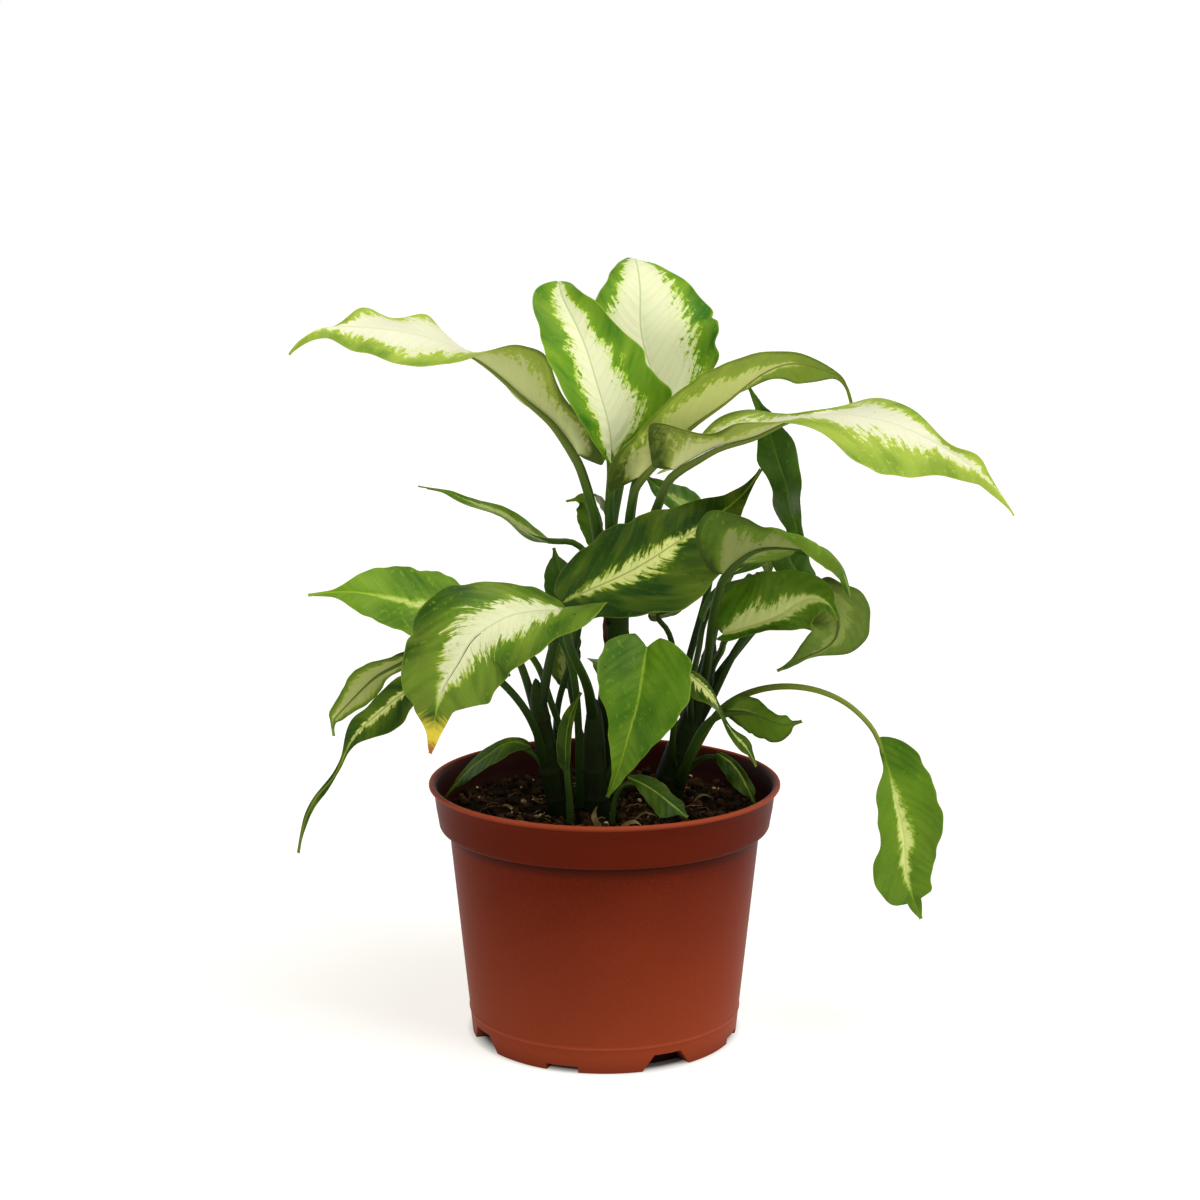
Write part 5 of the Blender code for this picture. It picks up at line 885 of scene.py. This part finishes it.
# The pot: a profile turned round Z. Where a column is in a pocket and a row at or below its top, the
# radius is no more than the pocket's depth, and the inner wall swells in past it by the wall.
def makePot(material):
    p = potForm
    profile, insideCount = potProfile()
    radius, high = profile.T
    outside = np.arange(len(high)) >= insideCount
    turns, marks = potColumns(high)
    turns = np.radians(turns.T)
    rows, columns = turns.shape
    rank = np.arange(rows)[:, None]
    reach = np.repeat(radius[:, None], columns, axis=1)
    swell = np.zeros((rows, columns))
    for mark, top, middle, swellWidth in ((1, p["pocketHeight"], p["pocketTurn"], 17.0),
                                          (2, p["slotHeight"], p["slotTurn"], 12.0)):
        topRow = np.flatnonzero(outside & (np.abs(high - top) < 0.01))[-1]
        cut = (marks == mark) & (rank >= topRow)
        reach = np.where(cut, np.minimum(reach, p["pocketDepthRadius"]), reach)
        near = np.abs((np.degrees(turns) - middle + 45.0) % 90.0 - 45.0)
        swell = np.maximum(swell, np.clip((swellWidth - near) / 4.0, 0.0, 1.0))
    deep = (1.0 - swell) * radius[:, None] + swell * (p["pocketDepthRadius"] - p["wall"])
    low = ((high < 9.0) & ~outside)[:, None]
    reach = np.where(low, np.minimum(reach, deep), reach)
    # painted shade: how far a point lies in from the outline in the pockets and slots, and 0.8 all over the
    # inside
    hollowShade = np.where(outside[:, None], np.clip((radius[:, None] - reach) / 4.0, 0.0, 1.0), 0.8)
    hollowShade = np.append(hollowShade.ravel(), [0.0, 0.0])
    points = np.stack(np.broadcast_arrays(*around(reach, turns), high[:, None]), axis=-1)
    points = np.concatenate([points.reshape(-1, 3), [[0, 0, p["floor"]], [0, 0, 0]]])
    quads = ringFaces(rows, columns)[:, ::-1]
    triangles = np.concatenate([quads[:, [0, 1, 2]], quads[:, [0, 2, 3]], endFans(rows, columns)])
    index, back = np.unique(np.round(points, 4), axis=0, return_index=True, return_inverse=True)[1:]
    triangles = back.ravel()[triangles]
    whole = (triangles != np.roll(triangles, 1, axis=1)).all(axis=1)
    piece = makePiece("potShell", points[index], triangles[whole].tolist(), [material],
                      attributes=[("hollowShade", hollowShade[index])])
    piece.data.set_sharp_from_angle(angle=math.radians(38))
    settle(piece, "terracotta_plastic", "pot")
    print("pot done:", len(piece.data.polygons), "faces")


# Cloudy terracotta with a fine grain, with light and shade painted by height: painted light that grows
# towards the foot, the collar darker and a band just under it darker still as painted shade, painted
# highlights on the lip's edge and along the raised line, and painted shade at the foot, darkest in the
# hollows and on the inner wall. Heights are in metres.
def potMaterial():
    material, tree, shader = newMaterial("terracottaPlastic")
    shade, light, inside = potForm["shade"], potForm["light"], potForm["inside"]
    place = objectPlace(tree)
    height = splitAxes(place)[2]
    grain = noise(place, 1300.0, 2.0, 0.6)
    cloud = remap(noise(place, 16.0, 3.0, 0.5), 0.3, 0.65, 0.25, 1.0)
    colour = mixColour(cloud, shade, potForm["body"])
    colour = layer(colour, light, grain, 0.5, 0.75, 0.14)
    # painted light, growing towards the foot
    colour = layer(colour, light, height, 0.082, 0.0, 0.55)
    # painted shade on the collar
    colour = layer(colour, shade, height, 0.0846, 0.0856, 0.55)
    # painted shade in a dark band just under the collar
    step = times(remap(height, 0.0795, 0.0838), remap(height, 0.0852, 0.0844))
    colour = mixColour(times(step, 0.8), colour, inside)
    # painted highlight along the lip's edge
    colour = layer(colour, light, height, 0.1005, 0.1022, 0.7)
    # painted highlight along the raised line
    fromLine = calc("ABSOLUTE", minus(height, potForm["lineHeight"] * mm))
    colour = layer(colour, light, fromLine, 0.0007, 0.0002, 0.5)
    # painted shade at the foot
    colour = layer(colour, shade, height, 0.006, 0.0, 0.4)
    # painted shade in the pockets, the slots and on the inner wall
    colour = layer(colour, inside, readNumber(tree, "hollowShade"), 0.05, 0.9)
    finishSkin(shader, colour, remap(grain, 0.3, 0.7, 0.4, 0.5), 0.03, grain, 0.06, 0.4)
    return material


# The soil's measures: side is its radius and height down the pot's inside, and waves are the longest
# and shortest of the sines that make its top uneven, with how many there are.
soilForm = dict(top=90.4, edgeRadius=64.6, rings=70, spokes=220, waves=(34.0, 2.2, 36), waveHeight=0.16,
                sink=1.2, side=[(63.8, 87.2), (60.4, 83), (59.6, 80), (55, 35), (51.3, 10), (43.6, 2.3),
                                (20, 2.3)],
                crumbs=dict(count=1100, sizes=(1.0, 4.2), seed=3, sink=0.15),
                grains=dict(count=70, sizes=(1.2, 3.2), seed=5, sink=0.1))

# Two colours and the roughness of everything that lies in the pot.
soilSkins = dict(pottingSoil=(paint(22, 14, 6), paint(50, 33, 16), 0.95),
                 soilBark=(paint(50, 33, 16), paint(76, 50, 26), 0.9),
                 perlite=(paint(176, 140, 92), paint(206, 180, 138), 0.9),
                 rootSkin=(paint(120, 90, 52), paint(156, 122, 76), 0.8),
                 dryPaper=(paint(104, 84, 50), paint(160, 138, 94), 0.8),
                 driedStreak=(paint(52, 16, 7), paint(104, 42, 24), 0.8),
                 paleSheath=(paint(124, 132, 96), paint(178, 182, 150), 0.8))


# The soil's height over (x, y): the sum of sines at seeded directions, finer ones with less height,
# sinking a little towards the wall.
def soilHeight(x, y):
    random = np.random.default_rng(7)
    count = soilForm["waves"][2]
    lengths = np.geomspace(*soilForm["waves"])
    angles = random.uniform(0, math.tau, count)
    starts = random.uniform(0, math.tau, count)
    run = x[..., None] * np.cos(angles) + y[..., None] * np.sin(angles)
    ripple = np.sin(math.tau * run / lengths + starts)
    height = (ripple * soilForm["waveHeight"] * (lengths / 10.0) ** 0.55).sum(axis=-1)
    edge = np.hypot(x, y) / soilForm["edgeRadius"]
    return soilForm["top"] + height - soilForm["sink"] * edge ** 6


# The soil: rings of the uneven top from near the middle out, then its side down to the pot's floor.
def makeSoil(material):
    s = soilForm
    turn = np.linspace(0.0, math.tau, s["spokes"], endpoint=False)
    x, y = around(s["edgeRadius"] * np.linspace(0.0, 1.0, s["rings"])[1:, None], turn)
    radius, high = np.array(s["side"], float).T[..., None]
    side = np.stack(np.broadcast_arrays(*around(radius, turn), high), axis=-1)
    rows = np.concatenate([np.stack([x, y, soilHeight(x, y)], axis=-1), side])
    middle = soilHeight(np.zeros(1), np.zeros(1))[0]
    points = np.concatenate([rows.reshape(-1, 3), [[0, 0, middle], [0, 0, s["side"][-1][1]]]])
    faces = ringFaces(len(rows), s["spokes"])[:, ::-1].tolist() + endFans(len(rows), s["spokes"]).tolist()
    settle(makePiece("soilMound", points, faces, [material]), "potting_soil", "soil")


# Clods between the two colours, with fibres of the root colour over them.
def soilMaterial(name, dark, light, rough):
    material, tree, shader = newMaterial(name)
    place = objectPlace(tree)
    clods = noise(place, 160.0, 5.0, 0.65)
    fibres = noise(place, 700.0, 3.0, 0.6)
    colour = layer(dark, light, clods, 0.42, 0.66)
    colour = layer(colour, soilSkins["rootSkin"][0], fibres, 0.62, 0.78, 0.6)
    finishSkin(shader, colour, rough, 0.08, timesAdd(fibres, 0.5, clods), 0.9, 0.9)
    return material


# One lump: an octahedron whose edges are halved once and whose points are pushed to a sphere.
def lumpShape():
    corners = np.array([[1, 0, 0], [0, 1, 0], [-1, 0, 0], [0, -1, 0], [0, 0, 1], [0, 0, -1]], float)
    faces = np.array([[0, 1, 4], [1, 2, 4], [2, 3, 4], [3, 0, 4],
                      [1, 0, 5], [2, 1, 5], [3, 2, 5], [0, 3, 5]])
    pairs = np.sort(np.concatenate([faces[:, [0, 1]], faces[:, [1, 2]], faces[:, [2, 0]]]), axis=1)
    edges, back = np.unique(pairs, axis=0, return_inverse=True)
    ab, bc, ca = back.ravel().reshape(3, -1) + len(corners)
    a, b, c = faces.T
    fine = np.concatenate([np.stack(t, 1) for t in ((a, ab, ca), (ab, b, bc), (ca, bc, c), (ab, bc, ca))])
    return np.concatenate([corners, unit(corners[edges].mean(axis=1))]), fine


# Many lumps in one mesh: the lump's points, each pushed in or out, stretched on three axes, tilted about
# Y, turned about Z and set on the soil at a seeded place.
def makeLumps(name, lumps, materials):
    count, sizes = lumps["count"], lumps["sizes"]
    random = np.random.default_rng(lumps["seed"])
    shape, faces = lumpShape()
    radius = soilForm["edgeRadius"] * np.sqrt(random.uniform(0.0, 0.94, count))
    x, y = around(radius, random.uniform(0, math.tau, count))
    size = random.uniform(0.0, 1.0, count) ** 1.8 * (sizes[1] - sizes[0]) + sizes[0]
    stretch = random.uniform(0.55, 1.25, (count, 1, 3)) * size[:, None, None] / 2
    push = random.uniform(0.72, 1.2, (count, len(shape), 1))
    px, py, pz = np.moveaxis(shape * push * stretch, -1, 0)
    spin = random.uniform(0, math.tau, count)[:, None]
    tilt = random.uniform(-0.7, 0.7, count)[:, None]
    px, pz = px * np.cos(tilt) + pz * np.sin(tilt), pz * np.cos(tilt) - px * np.sin(tilt)
    px, py = px * np.cos(spin) - py * np.sin(spin), px * np.sin(spin) + py * np.cos(spin)
    z = soilHeight(x, y) + size * (0.5 - lumps["sink"])
    points = np.stack([px + x[:, None], py + y[:, None], pz + z[:, None]], axis=-1).reshape(-1, 3)
    allFaces = (faces + len(shape) * np.arange(count)[:, None, None]).reshape(-1, 3)
    slots = np.repeat(random.integers(0, len(materials), count), len(faces))
    settle(makePiece(name, points, allFaces.tolist(), materials, slots), "potting_soil")
    print(name, "done:", count)


rootForm = dict(count=70, seed=21, lengths=(5.0, 20.0), bends=9, bend=0.35, spread=52.0, wallRadius=61.0,
                fewest=4, arch=0.5, thickness=(0.12, 0.34), sides=6)


# Fine roots: short tubes of a few bends lying on the soil, each a seeded walk that ends at the wall.
def makeRoots(material):
    r = rootForm
    random = np.random.default_rng(r["seed"])
    tubes = []
    for number in range(r["count"]):
        length = random.uniform(*r["lengths"])
        heading = random.uniform(0, math.tau) + np.cumsum(random.normal(0, r["bend"], r["bends"]))
        start = random.uniform(-0.8, 0.8, 2) * r["spread"]
        steps = np.stack([np.cos(heading), np.sin(heading)], axis=1) * length / r["bends"]
        path = start + np.cumsum(steps, axis=0)
        path = path[np.hypot(path[:, 0], path[:, 1]) < r["wallRadius"]]
        if len(path) < r["fewest"]:
            continue
        arch = np.sin(np.linspace(0, math.pi, len(path)))
        high = soilHeight(path[:, 0], path[:, 1]) + r["arch"] + r["arch"] * arch
        radii = np.linspace(1.0, 0.4, len(path)) * random.uniform(*r["thickness"])
        places = np.column_stack([path, high])
        tubes.append(tubeSurface(places, radii, r["sides"], np.array([0.0, 0.0, 1.0]))[:3])
    makeTubes("rootThreads", "potting_soil", tubes, [material], [0] * len(tubes))


# Scraps of dead sheath and leaf: which skin, half width, the way the flat side faces, and the path.
scrapForm = dict(steps=24, sides=14, flat=0.9, waver=0.12)
scraps = [
    (2, 1.7, (0.3, -0.9, 0.3), [(1, -3, 209), (0, -4, 213), (-2, -4, 216), (-4, -3, 218)]),
    (1, 1.0, (-0.7, -0.7, 0), [(0.6, -1.8, 154), (0.2, -2.0, 160), (-0.2, -2.2, 166), (0, -2.6, 170)]),
    (0, 0.8, (0, -0.4, 0.9), [(-41, 2, 91.5), (-38, -5, 93), (-35, -9, 92), (-31, -11, 91.5)]),
    (0, 0.8, (0.2, -0.5, 0.8), [(-8, 20, 92), (-5, 14, 94), (-6, 8, 95.5), (-9, 3, 93)]),
    (0, 0.7, (0, -0.5, 0.9), [(36, 6, 92), (40, 9, 94), (44, 8, 92.5)]),
    (0, 1.3, (0.3, -0.9, 0.1), [(-3, -40, 90), (-2, -41, 94), (-4, -40, 98), (-3, -38, 102)]),
    (0, 0.9, (0.1, -0.8, 0.5), [(4, -37, 90.5), (7, -38, 94), (11, -38, 96), (14, -36, 94)]),
    (0, 1.1, (0, -0.5, 0.9), [(-37, -26, 90.5), (-34, -29, 93), (-30, -30, 93), (-27, -33, 91)]),
    (0, 0.6, (0.3, -0.4, 0.9), [(12, -20, 91.5), (16, -16, 93.5), (21, -17, 92)]),
]


# Each scrap is a tube along its path whose radius is its half width times a half sine, pressed flat by
# taking away nine tenths of every point's offset along the way it faces.
def makeScraps(materials):
    form = scrapForm
    t = np.linspace(0.0, 1.0, form["steps"])
    tubes = []
    for tone, wide, face, path in scraps:
        places = naturalCurve(path, t)
        face = unit(np.array(face, float))
        radii = wide * np.sin(math.pi * (0.08 + 0.86 * t)) * (1.0 + form["waver"] * np.sin(19.0 * t))
        points, quads, fans = tubeSurface(places, radii, form["sides"], face)[:3]
        centre = np.concatenate([np.repeat(places, form["sides"], axis=0), places[:1], places[-1:]])
        points = points - form["flat"] * ((points - centre) @ face)[:, None] * face
        tubes.append((points, quads, fans))
    makeTubes("drySheathScraps", "leaf", tubes, materials, [scrap[0] for scrap in scraps])


# All that lies in the pot: soil, crumbs, perlite grains, roots and scraps.
def makeGround():
    soil, bark, perlite, root, *sheaths = (soilMaterial(name, *skin) for name, skin in soilSkins.items())
    makeSoil(soil)
    makeLumps("soilCrumbs", soilForm["crumbs"], [soil, bark])
    makeLumps("perliteGrains", soilForm["grains"], [perlite])
    makeRoots(root)
    makeScraps(sheaths)
    print("roots and scraps done")


# The camera, the sky from walls to ceiling, and each lamp's direction, power, angle and colour.
stage = dict(lens=69.8, place=(-0.0018, -0.9, 0.341), pitch=10.42, walls=1.0, ceiling=0.28,
             floorSize=5.0, floorTones=(paint(150, 152, 154), paint(154, 155, 158)),
             floorGlow=paint(240, 236, 228), glow=0.9,
             lamps=dict(keyLight=((0.35, -0.35, 1.0), 2.4, 24.0, (1.0, 0.985, 0.96)),
                        fillLight=((-0.9, -0.4, 0.5), 0.35, 60.0, (0.97, 0.985, 1.0)),
                        sideLight=((1.0, -0.25, 0.3), 0.7, 50.0, (1.0, 0.97, 0.92))))


# A sun that shines from the direction towards: tipped off Z by its slope, then turned to its side.
def addSun(name, towards, power, angle, colour):
    lamp = bpy.data.lights.new(name, "SUN")
    lamp.energy = power
    lamp.angle = math.radians(angle)
    lamp.color = colour
    item = bpy.data.objects.new(name, lamp)
    x, y, z = towards
    item.rotation_euler = (math.atan2(math.hypot(x, y), z), 0.0, math.atan2(x, -y))
    bpy.context.scene.collection.objects.link(item)


# White light all round that fades from the walls to the ceiling.
def makeSky():
    world = bpy.data.worlds.new("studio")
    world.use_nodes = True
    tree = world.node_tree
    high = splitAxes(addNode(tree, "TexCoord").outputs["Generated"])[2]
    strength = remap(high, 0.28, 0.6, stage["walls"], stage["ceiling"], smooth=True)
    fillNode(tree.nodes["Background"], {0: (1.0, 1.0, 1.0, 1.0), 1: strength})
    bpy.context.scene.world = world
    bpy.context.scene.view_settings.view_transform = "Standard"


# A pale square floor that glows faintly, except close under the pot, where the glow fades out into a
# painted shadow.
def makeFloor():
    material, tree, shader = newMaterial("studioFloor")
    place = objectPlace(tree)
    centre = fedNode("VectorMath", {0: place}, "Value", operation="LENGTH")
    # painted shadow: the glow fades out from 56 to 49 mm from the middle, under the pot's foot and in its
    # pockets
    fillNode(shader, {"Base Color": mixColour(noise(place, 3.0, 2.0), *stage["floorTones"]),
                      "Roughness": 0.9, "Specular IOR Level": 0.1, "Emission Color": stage["floorGlow"],
                      "Emission Strength": remap(centre, 0.049, 0.056, 0.0, stage["glow"])})
    edge = stage["floorSize"] / mm
    corners = [(-edge, -edge, 0), (edge, -edge, 0), (edge, edge, 0), (-edge, edge, 0)]
    floor = makePiece("studioFloor", np.array(corners, float), [(0, 1, 2, 3)], [material])


# The camera at the photograph's angle, the lamps, the sky and the floor.
def makeStage():
    camera = bpy.data.cameras.new("camera")
    camera.lens = stage["lens"]
    camera.sensor_width = 36.0
    camera.clip_start = 0.05
    camera.clip_end = 60.0
    view = bpy.data.objects.new("camera", camera)
    view.location = stage["place"]
    view.rotation_euler = (math.radians(90.0 - stage["pitch"]), 0.0, 0.0)
    bpy.context.scene.collection.objects.link(view)
    bpy.context.scene.camera = view
    for name, lamp in stage["lamps"].items():
        addSun(name, *lamp)
    makeSky()
    makeFloor()
    print("stage done")


makeStage()
makePot(potMaterial())
makeGround()
makeCanes()
makeLeaves()
